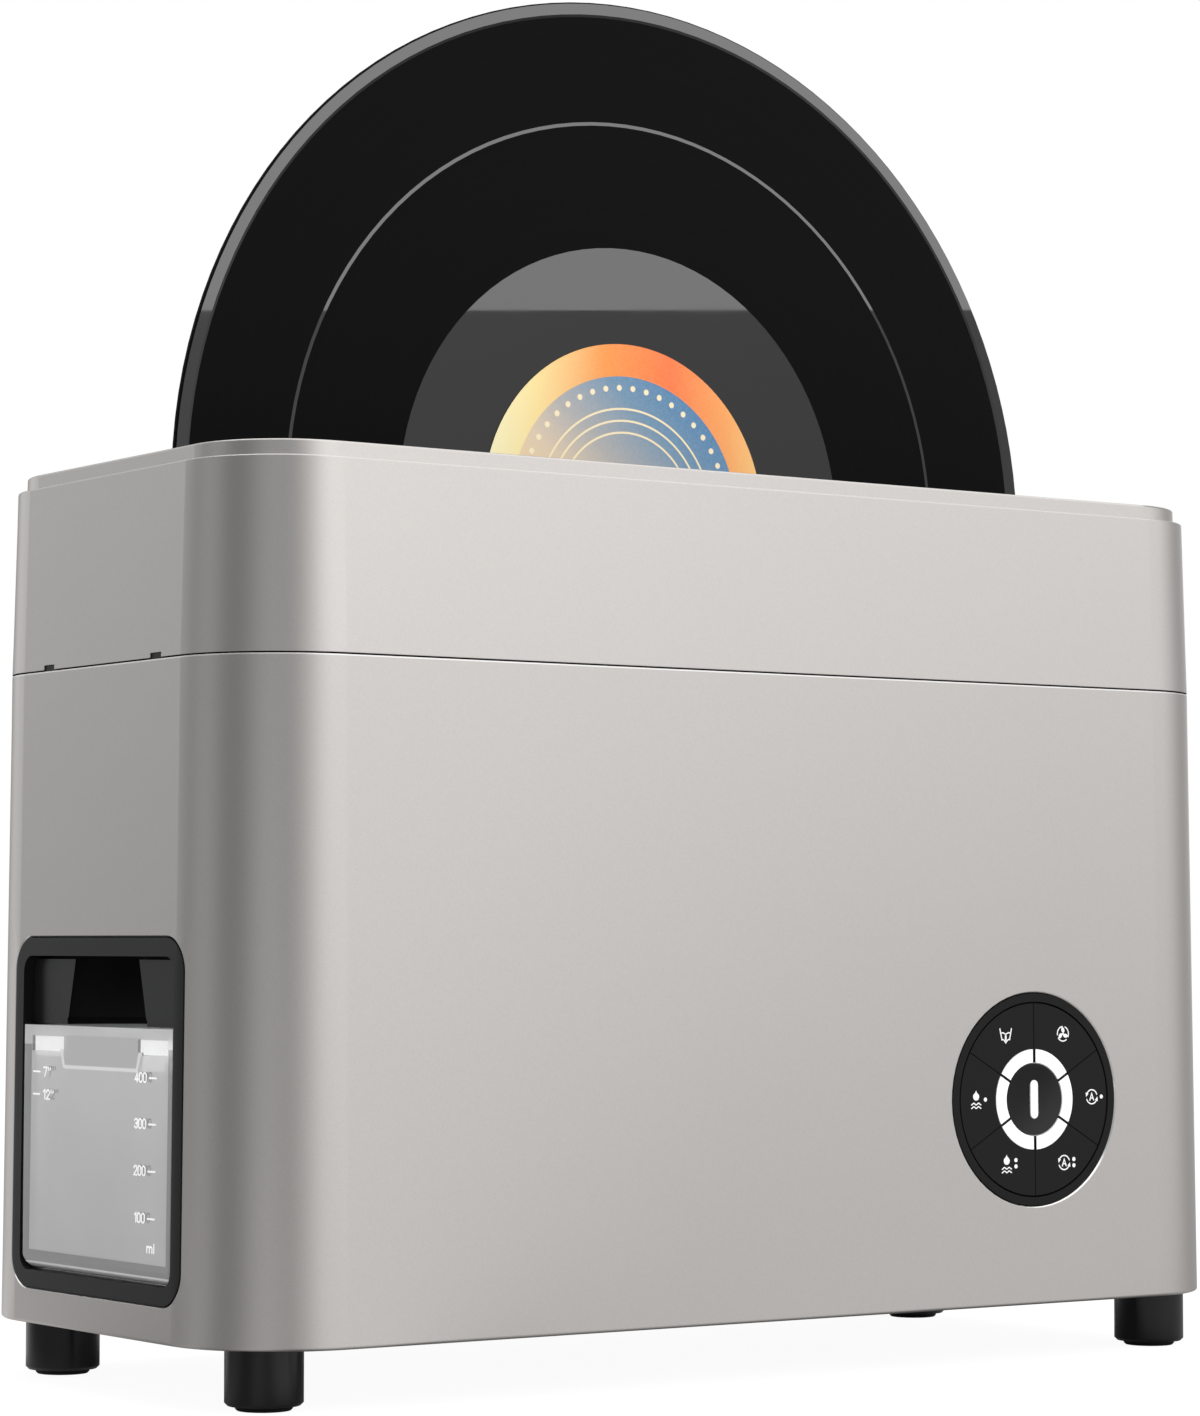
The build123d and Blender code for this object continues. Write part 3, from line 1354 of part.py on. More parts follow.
def ribbon_cable():
    """A flat cable from the main board's socket up to the back of the panel board."""
    cx, cy, w, d = board_places()[0]
    half = ribbon_w / 2
    t = ribbon_t
    z0 = floor_z + board_low + board_t + socket_h
    z1 = z0 + ribbon_rise
    x0 = cx + w / 2 - 1 - socket_w / 2
    y1 = board_y0 + board_t
    rise_y = y1 + ribbon_plug
    up = block(x0 - t / 2, x0 + t / 2, cy - half, cy + half, z0, z1)
    across = block(x0 - t / 2, panel_x + t / 2, cy - half, cy + half, z1, z1 + t)
    shelf = block(panel_x - half, panel_x + half, rise_y, cy + half, z1, z1 + t)
    rise = block(panel_x - half, panel_x + half, rise_y, rise_y + t, z1 + t, panel_z)
    plug_half = half + ribbon_plug_rim
    plug = block(panel_x - plug_half, panel_x + plug_half, y1, rise_y + t, panel_z - ribbon_plug / 2,
                 panel_z + ribbon_plug / 2)
    return up + across + shelf + rise + plug


# ---------------------------------------------------------------- record
def record_disc():
    rim = record_rim_t / 2
    field = record_field_t / 2
    hub = record_hub_t / 2
    r = record_r
    in_r = r - record_rim_w
    slope = rim - field
    cut = field - groove_d
    gap_in = record_gap_r - record_gap_w / 2
    gap_out = record_gap_r + record_gap_w / 2
    lead_in = in_r - 4 * slope
    middle = [(record_hole_r, hub), (record_label_r, hub), (record_label_r, field), (record_land_r, field)]
    first_band = [(record_land_r + groove_d, cut), (gap_in - groove_d, cut), (gap_in, field)]
    second_band = [(gap_out, field), (gap_out + groove_d, cut), (lead_in - groove_d, cut), (lead_in, field)]
    edge = [(in_r, rim), (r - rim / 2, rim), (r, rim / 2)]
    half = middle + first_band + second_band + edge
    other = [(a, -b) for a, b in reversed(half)]
    return turned_y(works_x, record_z, half + other)


def record_label(side):
    hub = record_hub_t / 2
    top = hub + record_label_t
    profile = [(record_hole_r, hub), (record_label_r, hub), (record_label_r, top), (record_hole_r, top)]
    return turned_y(works_x, record_z, [(r, side * y) for r, y in profile])


# ---------------------------------------------------------------- assembly
keep("lower_shell", lower_shell())
keep("upper_shell", upper_shell())
keep("base_plate", base_plate())
keep("snap_clips", *snap_clips())
foot_names = ["foot_front_left", "foot_rear_left", "foot_front_right", "foot_rear_right"]
for foot_name, spot in zip(foot_names, foot_spots()):
    keep(foot_name, foot(*spot))
keep("foot_pads", *[foot_pad(*spot) for spot in foot_spots()])
keep("foot_screws", *[foot_screw(*spot) for spot in foot_spots()])
keep("base_screws", *[base_screw(*spot) for spot in base_screw_spots()])

keep("chassis_plate", chassis_plate())
keep("bath_trough", bath_trough())
sides = (-1, 1)
keep("transducers", *[transducer(works_x + sx * transducer_x, sy) for sx in sides for sy in sides])
keep("shaft_bushes", *[shaft_bush(x, side) for x, z in roller_spots for side in sides])
bracket_end = bracket_y + bracket_t + bearing_h - 1
keep("idler_shaft", shaft(roller_spots[0][0], bath_gap / 2 + bush_l))
keep("drive_shaft", shaft(roller_spots[1][0], bracket_end))
keep("idler_roller", grooved(*roller_spots[0], roller_r, roller_flange, roller_w, shaft_r))
keep("drive_roller", grooved(*roller_spots[1], roller_r, roller_flange, roller_w, shaft_r))
keep("drive_gear", drive_gear())
keep("motor_pinion", motor_pinion())
keep("motor_bracket", motor_bracket())
keep("drive_motor", drive_motor())

keep("top_deck", top_deck())
keep("guide_pins", *[guide_pin(x, z) for x, z in guide_spots])
for guide_name, spot in zip(("guide_roller_left", "guide_roller_right"), guide_spots):
    keep(guide_name, grooved(*spot, guide_r, guide_flange, guide_w, guide_pin_r + shaft_gap))
keep("blower_case_front", blower_case())
keep("blower_case_rear", turned_round(blower_case()))
keep("blower_rotor_front", blower_rotor())
keep("blower_rotor_rear", turned_round(blower_rotor()))
keep("air_duct_front", air_duct())
keep("air_duct_rear", turned_round(air_duct()))

keep("bay_frame", bay_frame())
keep("bay_liner", bay_liner())
keep("tank_body", tank_body())
keep("tank_lid", tank_lid())
keep("tank_filter", tank_filter())
keep("spout_elbow", spout_elbow())

keep("drain_nipple", drain_nipple())
keep("suction_hose", suction_hose())
keep("drain_pump", drain_pump())
keep("drain_hose", drain_hose())

keep("main_board", main_board())
keep("driver_board", driver_board())
keep("ribbon_cable", ribbon_cable())
keep("dc_jack", dc_jack())
keep("rear_grille", rear_grille())

keep("panel_bezel", panel_bezel())
keep("panel_board", panel_board())
keep("light_ring", *light_ring())
keep("key_start", start_key())
key_turns = {"key_auto_short": 0, "key_dry": 60, "key_drain": 120,
             "key_wash_short": 180, "key_wash_long": 240, "key_auto_long": 300}
for key_name, key_turn in key_turns.items():
    keep(key_name, sector_key(key_turn))

keep("record_disc", record_disc())
keep("record_label", record_label(-1), record_label(1))

os.makedirs("parts", exist_ok=True)
for part_name, part_shape in parts.items():
    export_step(part_shape, f"parts/{part_name}.step")
print(len(parts), "sub-parts written")
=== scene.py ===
import json
import math

import bmesh
import bpy
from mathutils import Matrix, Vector


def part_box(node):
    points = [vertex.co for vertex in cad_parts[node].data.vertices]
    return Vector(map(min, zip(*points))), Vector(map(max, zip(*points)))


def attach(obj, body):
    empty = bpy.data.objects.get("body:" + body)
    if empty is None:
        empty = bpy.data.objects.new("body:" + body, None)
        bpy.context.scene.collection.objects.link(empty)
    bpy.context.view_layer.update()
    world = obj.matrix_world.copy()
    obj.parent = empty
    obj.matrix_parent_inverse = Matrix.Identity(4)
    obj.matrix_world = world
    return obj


# The looks of an ultrasonic record cleaning machine. Everything is in metres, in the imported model's frame:
# +X along the record slot to the right, -Y the front, +Z up from the floor.

MM = 0.001

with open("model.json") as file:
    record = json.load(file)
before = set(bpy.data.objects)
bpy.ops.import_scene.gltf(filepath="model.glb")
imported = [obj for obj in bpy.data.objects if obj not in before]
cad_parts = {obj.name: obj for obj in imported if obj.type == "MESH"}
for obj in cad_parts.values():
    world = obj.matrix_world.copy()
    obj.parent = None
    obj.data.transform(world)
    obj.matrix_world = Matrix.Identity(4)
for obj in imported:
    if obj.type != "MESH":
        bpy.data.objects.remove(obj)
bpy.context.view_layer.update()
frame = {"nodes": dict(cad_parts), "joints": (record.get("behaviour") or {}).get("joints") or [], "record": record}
nodes = frame["nodes"]
joints = {joint["name"]: joint for joint in frame["joints"]}

# ---------------------------------------------------------------- places taken from the frame
record_centre = Vector(joints["record_spin"]["pos_m"])
record_low, record_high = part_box("record_disc")
record_r = (record_high.x - record_low.x) / 2
shell_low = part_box("lower_shell")[0]
foot_top = shell_low.z
bezel_low, bezel_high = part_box("panel_bezel")
panel_centre = (bezel_low + bezel_high) / 2
tank_low, tank_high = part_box("tank_body")
tank_mid = (tank_low.y + tank_high.y) / 2
tank_skin = [v.co for v in nodes["tank_body"].data.vertices]
tank_top_x = min(place.x for place in tank_skin if place.z > tank_high.z - MM)
# the tank's front follows the shell's drafted face
tank_lean = (tank_top_x - tank_low.x) / (tank_high.z - tank_low.z)
pocket_half = 20.75 * MM
brow_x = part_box("bay_liner")[0].x
seam_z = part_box("upper_shell")[0].z
seam_gap = 0.45 * MM
rim_z = seam_z - seam_gap      # the lower shell's rim, under the seam
wall_draft = 0.0092            # run of the lower shell's walls per metre of height
groove_in = 78.4 * MM          # the record's bands, from its axis, and the smooth gap between two tracks
groove_out = record_r - 4.38 * MM
gap_r = 115.0 * MM
gap_half = 0.52 * MM


def add_object(name, data):
    """A new object in the scene."""
    piece = bpy.data.objects.new(name, data)
    bpy.context.scene.collection.objects.link(piece)
    return piece


def reach_from(centre, place):
    """How far a place is from the axis through centre that runs along Y."""
    return math.hypot(place.x - centre.x, place.z - centre.z)


# ---------------------------------------------------------------- camera
# a separate program fitted it to the record's rings and the housing's edges in the photograph
camera_place = (-0.69131, -0.98593, 0.12105)
camera_yaw = 34.751            # degrees, from +Y towards +X
camera_pitch = 3.226           # degrees above the horizon
camera_lens = 104.72           # mm, before a sensor 36 mm wide

camera_data = bpy.data.cameras.new("camera")
camera_data.lens = camera_lens
camera_data.sensor_width = 36.0
camera_data.clip_start = 0.05
camera_data.clip_end = 50.0
camera = add_object("camera", camera_data)
camera.location = camera_place
camera.rotation_euler = (math.radians(90 + camera_pitch), 0, math.radians(-camera_yaw))
bpy.context.scene.camera = camera
bpy.context.scene.view_settings.view_transform = "Standard"


# ---------------------------------------------------------------- node graphs
class Graph:
    """A node tree with short calls: add() makes a node and sets or links its sockets."""

    def __init__(self, tree):
        self.tree = tree
        tree.nodes.clear()

    def add(self, kind, settings=None, **sockets):
        node = self.tree.nodes.new("ShaderNode" + kind)
        for name, value in (settings or {}).items():
            setattr(node, name, value)
        for name, value in sockets.items():
            by_number = name[0] == "i" and name[1:].isdigit()
            self.put(node.inputs[int(name[1:]) if by_number else name], value)
        return node

    def put(self, socket, value):
        if isinstance(value, bpy.types.NodeSocket):
            self.tree.links.new(value, socket)
        elif isinstance(value, bpy.types.Node):
            self.tree.links.new(value.outputs[0], socket)
        else:
            socket.default_value = value

    def math(self, operation, *values):
        sockets = {f"i{i}": value for i, value in enumerate(values)}
        return self.add("Math", {"operation": operation}, **sockets).outputs[0]

    def map(self, value, from_low, from_high, to_low, to_high, smooth=False):
        node = self.add("MapRange", {"interpolation_type": "SMOOTHSTEP" if smooth else "LINEAR"}, Value=value)
        limits = {"From Min": from_low, "From Max": from_high, "To Min": to_low, "To Max": to_high}
        for name, limit in limits.items():
            node.inputs[name].default_value = limit
        return node.outputs[0]

    def mix(self, share, a, b):
        """A colour between a and b."""
        node = self.add("Mix", {"data_type": "RGBA"})
        self.put(node.inputs[0], share)
        self.put(node.inputs[6], a)
        self.put(node.inputs[7], b)
        return node.outputs[2]

    def ramp(self, value, stops):
        """A colour ramp with (place, colour) stops."""
        node = self.add("ValToRGB", Fac=value)
        elements = node.color_ramp.elements
        while len(elements) < len(stops):
            elements.new(0.5)
        for element, (place, colour) in zip(elements, stops):
            element.position = place
            element.color = rgba(colour)
        return node.outputs[0]

    def noise(self, per_metre, detail=2.0, vector=None):
        place = vector or self.add("TexCoord").outputs["Object"]
        node = self.add("TexNoise", Vector=place)
        node.inputs["Scale"].default_value = per_metre
        node.inputs["Detail"].default_value = detail
        return node.outputs[0]

    def bump(self, height, strength, distance, normal=None):
        node = self.add("Bump", Height=height, Strength=strength, Distance=distance)
        if normal is not None:
            self.put(node.inputs["Normal"], normal)
        return node.outputs[0]

    def place(self):
        """The point's own X, Y and Z in the row frame."""
        node = self.add("SeparateXYZ", Vector=self.add("TexCoord").outputs["Object"])
        return node.outputs[0], node.outputs[1], node.outputs[2]


def rgba(colour):
    return (*colour[:3], 1.0)


def new_material(name):
    """A material with a Principled shader, as (material, graph, shader)."""
    mat = bpy.data.materials.new(name)
    mat.use_nodes = True
    graph = Graph(mat.node_tree)
    shader = graph.add("BsdfPrincipled")
    output = graph.add("OutputMaterial")
    graph.put(output.inputs["Surface"], shader)
    return mat, graph, shader


def moulded(name, colour, roughness, grain=900.0, spread=0.06, bump=0.03, specular=0.5):
    """A plain moulded surface: fine grain in colour, gloss and relief."""
    mat, graph, shader = new_material(name)
    fine = graph.noise(grain, 3.0)
    broad = graph.noise(grain / 40, 2.0)
    dark = [c * (1 - spread) for c in colour]
    light = [min(1.0, c * (1 + spread)) for c in colour]
    tint = graph.mix(fine, rgba(dark), rgba(light))
    graph.put(shader.inputs["Base Color"], tint)
    graph.put(shader.inputs["Roughness"], graph.map(broad, 0.3, 0.7, roughness - 0.03, roughness + 0.03))
    graph.put(shader.inputs["Normal"], graph.bump(fine, bump, 0.0001))
    shader.inputs["Specular IOR Level"].default_value = specular
    return mat, graph, shader


# ---------------------------------------------------------------- materials
def body_paint():
    """Satin metallic paint: tiny flakes, a slight drift in gloss over the large faces, and a painted highlight
    along the top of the lower shell's rim.
    """
    mat, graph, shader = new_material("body_paint")
    flakes = graph.add("TexVoronoi", Vector=graph.add("TexCoord").outputs["Object"], Scale=3800.0)
    flake = graph.add("SeparateXYZ", Vector=flakes.outputs["Color"]).outputs[0]
    drift = graph.noise(14.0, 2.0)
    dark = (0.640, 0.611, 0.590)
    light = (0.680, 0.649, 0.627)
    z = graph.place()[2]
    rim_highlight_h = 0.38 * MM           # painted highlight: the top of the lower shell's rim is painted near-white, for the light its edge catches
    rim = band(graph, z, rim_z - rim_highlight_h, rim_z + 0.1 * MM, 0.04 * MM)
    paint = graph.mix(rim, graph.mix(flake, rgba(dark), rgba(light)), (0.97, 0.95, 0.93, 1))
    graph.put(shader.inputs["Base Color"], paint)
    graph.put(shader.inputs["Roughness"], graph.map(drift, 0.3, 0.7, 0.305, 0.325))
    broken_edge = 0.32 * MM     # edges are broken, so they catch light or dark
    rounded = graph.add("Bevel", {"samples": 4}, Radius=broken_edge)
    graph.put(shader.inputs["Normal"], graph.bump(flake, 0.018, 0.00005, rounded))
    shader.inputs["Metallic"].default_value = 1.0
    return mat


def milky_plastic():
    """The tank: clear plastic with a milky haze, clearer before the lid's skirt; the thick walls, sill and pocket
    behind its face are painted on it as grey shade, with white painted highlights.
    """
    near_wall_t = 2.3 * MM
    far_wall_t = 4.6 * MM       # the far wall and its corner, as they show through
    foot_h = 1.8 * MM
    sill_h = 5.3 * MM           # up to the top of the floor inside
    skirt_h = 5.3 * MM
    pocket_top = tank_high.z - 2.6 * MM
    pocket_low = tank_high.z - 11.6 * MM
    pocket_mid = tank_mid - 2.1 * MM
    pocket_flare = 1.3 * MM
    window_top = tank_high.z - 2.9 * MM
    window_low = tank_high.z - 7.0 * MM
    line_half = 0.55 * MM
    grey = (0.50, 0.50, 0.50, 1)
    pocket_painted_shade = (0.66, 0.66, 0.66, 1)
    foot_painted_highlight = (0.99, 0.99, 0.99, 1)
    white = (0.98, 0.98, 0.98, 1)

    mat, graph, shader = new_material("milky_plastic")
    _, y, z = graph.place()
    haze = graph.noise(45.0, 2.0)
    # painted light: the haze is painted lighter towards the top of the tank
    painted_lighter_upward = graph.map(z, tank_low.z, tank_high.z, 0.86, 0.97)
    cloudy = graph.math("MULTIPLY", painted_lighter_upward, graph.map(haze, 0.3, 0.7, 0.98, 1.02))
    milk = graph.add("CombineXYZ", X=cloudy, Y=cloudy, Z=cloudy).outputs[0]
    side = graph.math("ABSOLUTE", graph.math("SUBTRACT", y, pocket_mid))

    # painted shade over the thick walls and the sill, and a painted highlight along the foot
    near_wall = band(graph, y, tank_low.y, tank_low.y + near_wall_t)
    far_wall = band(graph, y, tank_high.y - far_wall_t, tank_high.y)
    walls = graph.math("MULTIPLY", graph.math("MAXIMUM", near_wall, far_wall),
                       band(graph, z, tank_low.z, tank_high.z - skirt_h))
    sill = band(graph, z, tank_low.z + foot_h + 0.1 * MM, tank_low.z + sill_h)
    paint = graph.mix(graph.math("MAXIMUM", walls, sill), milk, grey)
    paint = graph.mix(band(graph, z, tank_low.z, tank_low.z + foot_h), paint, foot_painted_highlight)

    # the lid's pocket behind the front wall, painted in as shade, and its floor as a painted highlight
    over_pocket = graph.map(side, pocket_half - 0.1 * MM, pocket_half + 0.1 * MM, 1.0, 0.0)
    pocket = graph.math("MULTIPLY", over_pocket, band(graph, z, pocket_low, pocket_top))
    paint = graph.mix(pocket, paint, pocket_painted_shade)
    pocket_floor = graph.math("MULTIPLY", over_pocket, band(graph, z, pocket_low, pocket_low + MM))
    paint = graph.mix(pocket_floor, paint, white)

    # the clear windows beside the pocket, and painted highlight lines round it and over the foot
    beside = graph.map(side, pocket_half + 0.2 * MM, pocket_half + 0.4 * MM, 0.0, 1.0)
    beside = graph.math("MULTIPLY", beside, band(graph, y, tank_low.y + 2.7 * MM, tank_high.y - 4.9 * MM))
    window = graph.math("MULTIPLY", beside, band(graph, z, window_low, window_top))
    slope = graph.map(z, pocket_low + 0.6 * MM, window_low + 0.2 * MM,
                      pocket_half, pocket_half + pocket_flare)
    edge = graph.math("ABSOLUTE", graph.math("SUBTRACT", side, slope))
    edge = graph.math("MULTIPLY", graph.map(edge, line_half, line_half + 0.2 * MM, 1.0, 0.0),
                      band(graph, z, pocket_low + 0.2 * MM, window_low + 0.6 * MM))
    foot_line = band(graph, z, tank_low.z + 1.5 * MM, tank_low.z + 2.1 * MM)
    edge = graph.math("MAXIMUM", edge, foot_line)
    graph.put(shader.inputs["Base Color"], graph.mix(edge, paint, white))

    clear = graph.map(window, 0.0, 1.0, 0.38, 0.88)
    clear = graph.math("MULTIPLY", clear, graph.map(pocket, 0.0, 1.0, 1.0, 0.3))
    lines = graph.math("MAXIMUM", edge, pocket_floor)
    clear = graph.math("MULTIPLY", clear, graph.map(lines, 0.0, 1.0, 1.0, 0.0))
    graph.put(shader.inputs["Transmission Weight"], clear)
    graph.put(shader.inputs["Roughness"], graph.map(haze, 0.3, 0.7, 0.10, 0.14))
    graph.put(shader.inputs["Normal"], graph.bump(haze, 0.02, 0.0005))
    shader.inputs["IOR"].default_value = 1.49
    return mat


def band(graph, value, low, high, soft=0.1 * MM):
    """One between low and high and nothing outside, with soft ends."""
    rise = graph.map(value, low - soft, low + soft, 0.0, 1.0)
    fall = graph.map(value, high - soft, high + soft, 1.0, 0.0)
    return graph.math("MULTIPLY", rise, fall)


def lid_plastic():
    """The lid and its finger pocket: whiter plastic, with a painted glow of light in its skirt."""
    mat, graph, shader = new_material("lid_plastic")
    z = graph.place()[2]
    skirt = graph.map(z, tank_high.z - 3.2 * MM, tank_high.z - 2.8 * MM, 1.0, 0.0)
    haze = graph.noise(260.0, 3.0)
    graph.put(shader.inputs["Base Color"], graph.mix(haze, (0.88, 0.88, 0.88, 1), (0.96, 0.96, 0.96, 1)))
    graph.put(shader.inputs["Roughness"], graph.map(haze, 0.3, 0.7, 0.18, 0.26))
    graph.put(shader.inputs["Normal"], graph.bump(haze, 0.04, 0.0003))
    shader.inputs["Transmission Weight"].default_value = 0.25
    shader.inputs["IOR"].default_value = 1.49
    # painted light: the skirt glows, though it is no lamp
    graph.put(shader.inputs["Emission Color"], graph.mix(skirt, (0, 0, 0, 1), (1, 1, 1, 1)))
    shader.inputs["Emission Strength"].default_value = 0.50
    return mat


def liner_plastic():
    """Black in front, over the tank, and light grey in the tunnel round it, which glows faintly as painted light.
    """
    mat, graph, shader = moulded("liner_plastic", (0.013, 0.013, 0.0135), 0.30, 700.0, specular=0.30)
    x, _, z = graph.place()
    deep = graph.map(x, tank_low.x + 2.5 * MM, tank_low.x + 3.5 * MM, 0.0, 1.0)
    under = graph.map(z, tank_high.z - 1.7 * MM, tank_high.z - 1.5 * MM, 1.0, 0.0)
    inside = graph.math("MULTIPLY", deep, under)
    grain = graph.noise(500.0)
    black = graph.mix(grain, (0.009, 0.009, 0.0094, 1), (0.013, 0.013, 0.0134, 1))
    pale = graph.mix(grain, (0.74, 0.74, 0.74, 1), (0.80, 0.80, 0.80, 1))
    graph.put(shader.inputs["Base Color"], graph.mix(inside, black, pale))
    # painted light: the pale tunnel glows faintly, though it is no lamp
    graph.put(shader.inputs["Emission Color"], graph.mix(inside, (0, 0, 0, 1), (1, 1, 1, 1)))
    shader.inputs["Emission Strength"].default_value = 0.25
    return mat


def smooth_vinyl(name, specular):
    """Pressed vinyl as smooth as glass: lead-in, track gap and run-out."""
    mat, graph, shader = new_material(name)
    haze = graph.noise(40.0, 3.0)
    tint = graph.mix(haze, (0.0048, 0.0048, 0.0050, 1), (0.0060, 0.0060, 0.0062, 1))
    graph.put(shader.inputs["Base Color"], tint)
    graph.put(shader.inputs["Roughness"], graph.map(haze, 0.3, 0.7, 0.008, 0.020))
    shader.inputs["Specular IOR Level"].default_value = specular
    return mat


def grooved_vinyl():
    """The recorded bands: fine turns about the record's axis, blacker and duller than the lands."""
    mat, graph, shader = new_material("grooved_vinyl")
    x, _, z = graph.place()
    r = axis_distance(graph, x, z)
    turns = graph.math("SINE", graph.math("MULTIPLY", r, 2 * math.pi / (0.4 * MM)))
    density = graph.noise(260.0, 3.0, graph.add("CombineXYZ", X=r).outputs[0])
    tint = graph.mix(density, (0.0038, 0.0038, 0.0040, 1), (0.0062, 0.0062, 0.0064, 1))
    graph.put(shader.inputs["Base Color"], tint)
    graph.put(shader.inputs["Roughness"], graph.map(density, 0.3, 0.7, 0.40, 0.46))
    graph.put(shader.inputs["Normal"], graph.bump(turns, 0.02, 0.00002))
    shader.inputs["Specular IOR Level"].default_value = 0.025
    return mat


def axis_distance(graph, x, z):
    """The distance from the record's axis."""
    dx = graph.math("SUBTRACT", x, record_centre.x)
    dz = graph.math("SUBTRACT", z, record_centre.z)
    return length(graph, dx, dz)


def length(graph, a, b):
    """The length of a step with the sides a and b."""
    squares = graph.math("ADD", graph.math("MULTIPLY", a, a), graph.math("MULTIPLY", b, b))
    return graph.math("SQRT", squares)


def label_paper():
    """A generic printed label: a warm rim with a ring of dots round a blue to sand disc with pale circles."""
    mat, graph, shader = new_material("label_paper")
    label_r = 50 * MM
    rim_r = 40.5 * MM
    circle_paint = (1.0, 0.82, 0.52, 1)
    dot_ring_r = 37.2 * MM
    dot_r = 0.8 * MM
    circles = (24.0 * MM, 27.5 * MM, 31.0 * MM)
    circle_half = 0.25 * MM
    edge = 0.1 * MM
    x, _, z = graph.place()
    dx = graph.math("SUBTRACT", x, record_centre.x)
    dz = graph.math("SUBTRACT", z, record_centre.z)
    r = axis_distance(graph, x, z)
    across = graph.map(dx, -label_r, label_r, 0.0, 1.0)
    warm = graph.ramp(across, [(0.0, (1.0, 0.95, 0.58)), (0.18, (0.98, 0.77, 0.33)),
                               (0.42, (0.94, 0.31, 0.05)), (0.66, (0.95, 0.18, 0.035)),
                               (0.86, (0.97, 0.37, 0.09)), (1.0, (0.98, 0.60, 0.20))])
    slant = graph.math("ADD", graph.math("MULTIPLY", dx, 0.85), dz)
    sky = graph.ramp(graph.map(slant, -0.030, 0.052, 0.0, 1.0),
                     [(0.0, (0.98, 0.72, 0.36)), (0.30, (0.74, 0.60, 0.44)), (0.52, (0.42, 0.42, 0.42)),
                      (0.78, (0.15, 0.28, 0.42)), (1.0, (0.07, 0.22, 0.42))])
    inner = graph.map(r, rim_r, rim_r + 2 * edge, 1.0, 0.0)
    paint = graph.mix(inner, warm, sky)
    for circle_r in circles:
        off = graph.math("ABSOLUTE", graph.math("SUBTRACT", r, circle_r))
        on_circle = graph.map(off, circle_half, circle_half + edge, 1.0, 0.0)
        paint = graph.mix(on_circle, paint, circle_paint)
    turn = graph.math("ARCTAN2", dz, dx)
    dots = 48
    share = graph.math("FRACT", graph.math("MULTIPLY", turn, dots / (2 * math.pi)))
    arc = graph.math("MULTIPLY", graph.math("SUBTRACT", share, 0.5), 2 * math.pi * dot_ring_r / dots)
    dot = length(graph, arc, graph.math("SUBTRACT", r, dot_ring_r))
    paint = graph.mix(graph.map(dot, dot_r, dot_r + 1.5 * edge, 1.0, 0.0), paint, (1.0, 0.84, 0.56, 1))
    fibre = graph.noise(1500.0, 4.0)
    paint = graph.mix(graph.map(fibre, 0.3, 0.7, 0.0, 0.06), paint, (1.0, 0.95, 0.9, 1))
    graph.put(shader.inputs["Base Color"], paint)
    # painted light: the label glows faintly in its own colours, though it is no lamp
    graph.put(shader.inputs["Emission Color"], paint)
    shader.inputs["Emission Strength"].default_value = 0.18
    graph.put(shader.inputs["Roughness"], graph.map(fibre, 0.3, 0.7, 0.42, 0.5))
    graph.put(shader.inputs["Normal"], graph.bump(fibre, 0.05, 0.00005))
    return mat


def brushed(name, colour, roughness, axis_scale):
    """Drawn or brushed metal: noise stretched along the brushing."""
    mat, graph, shader = new_material(name)
    scaled = graph.add("Mapping", Vector=graph.add("TexCoord").outputs["Object"])
    scaled.inputs["Scale"].default_value = axis_scale
    streak = graph.noise(1.0, 3.0, scaled.outputs[0])
    graph.put(shader.inputs["Base Color"], graph.mix(streak, rgba([c * 0.86 for c in colour]), rgba(colour)))
    graph.put(shader.inputs["Roughness"], graph.map(streak, 0.3, 0.7, roughness - 0.06, roughness + 0.06))
    graph.put(shader.inputs["Normal"], graph.bump(streak, 0.05, 0.0001))
    shader.inputs["Metallic"].default_value = 1.0
    return mat


def circuit_board():
    """Green solder mask over a grid of darker tracks."""
    mat, graph, shader = moulded("circuit_board", (0.02, 0.16, 0.07), 0.35, 1200.0)
    cells = graph.add("TexVoronoi", {"distance": "MANHATTAN", "feature": "F1"}, Scale=260.0,
                      Vector=graph.add("TexCoord").outputs["Object"])
    tracks = graph.map(cells.outputs["Distance"], 0.25, 0.30, 0.0, 1.0)
    graph.put(shader.inputs["Base Color"], graph.mix(tracks, (0.03, 0.22, 0.09, 1), (0.012, 0.11, 0.045, 1)))
    return mat


def white_light():
    """A diffusing light guide, faintly lit, with black lines between its segments."""
    mat, graph, shader = moulded("white_light", (0.93, 0.93, 0.93), 0.35, 600.0, spread=0.02)
    slit_half = 0.36 * MM
    upright = 0.76              # under one, so the upright slit is wider than the two that lean
    x, _, z = graph.place()
    dx = graph.math("SUBTRACT", x, panel_centre.x)
    dz = graph.math("SUBTRACT", z, panel_centre.z)
    off = graph.math("MULTIPLY", graph.math("ABSOLUTE", dx), upright)
    for sign in (-1, 1):
        across = graph.math("ADD", graph.math("MULTIPLY", dx, 0.5), graph.math("MULTIPLY", dz, sign * 0.866))
        off = graph.math("MINIMUM", off, graph.math("ABSOLUTE", across))
    lit = graph.map(off, slit_half, slit_half + 0.08 * MM, 0.0, 1.0)
    grain = graph.noise(600.0, 3.0)
    white = graph.mix(grain, (0.91, 0.91, 0.91, 1), (0.95, 0.95, 0.95, 1))
    graph.put(shader.inputs["Base Color"], graph.mix(lit, (0.004, 0.004, 0.004, 1), white))
    graph.put(shader.inputs["Emission Color"], graph.mix(lit, (0, 0, 0, 1), (1, 1, 1, 1)))
    shader.inputs["Emission Strength"].default_value = 0.25
    return mat


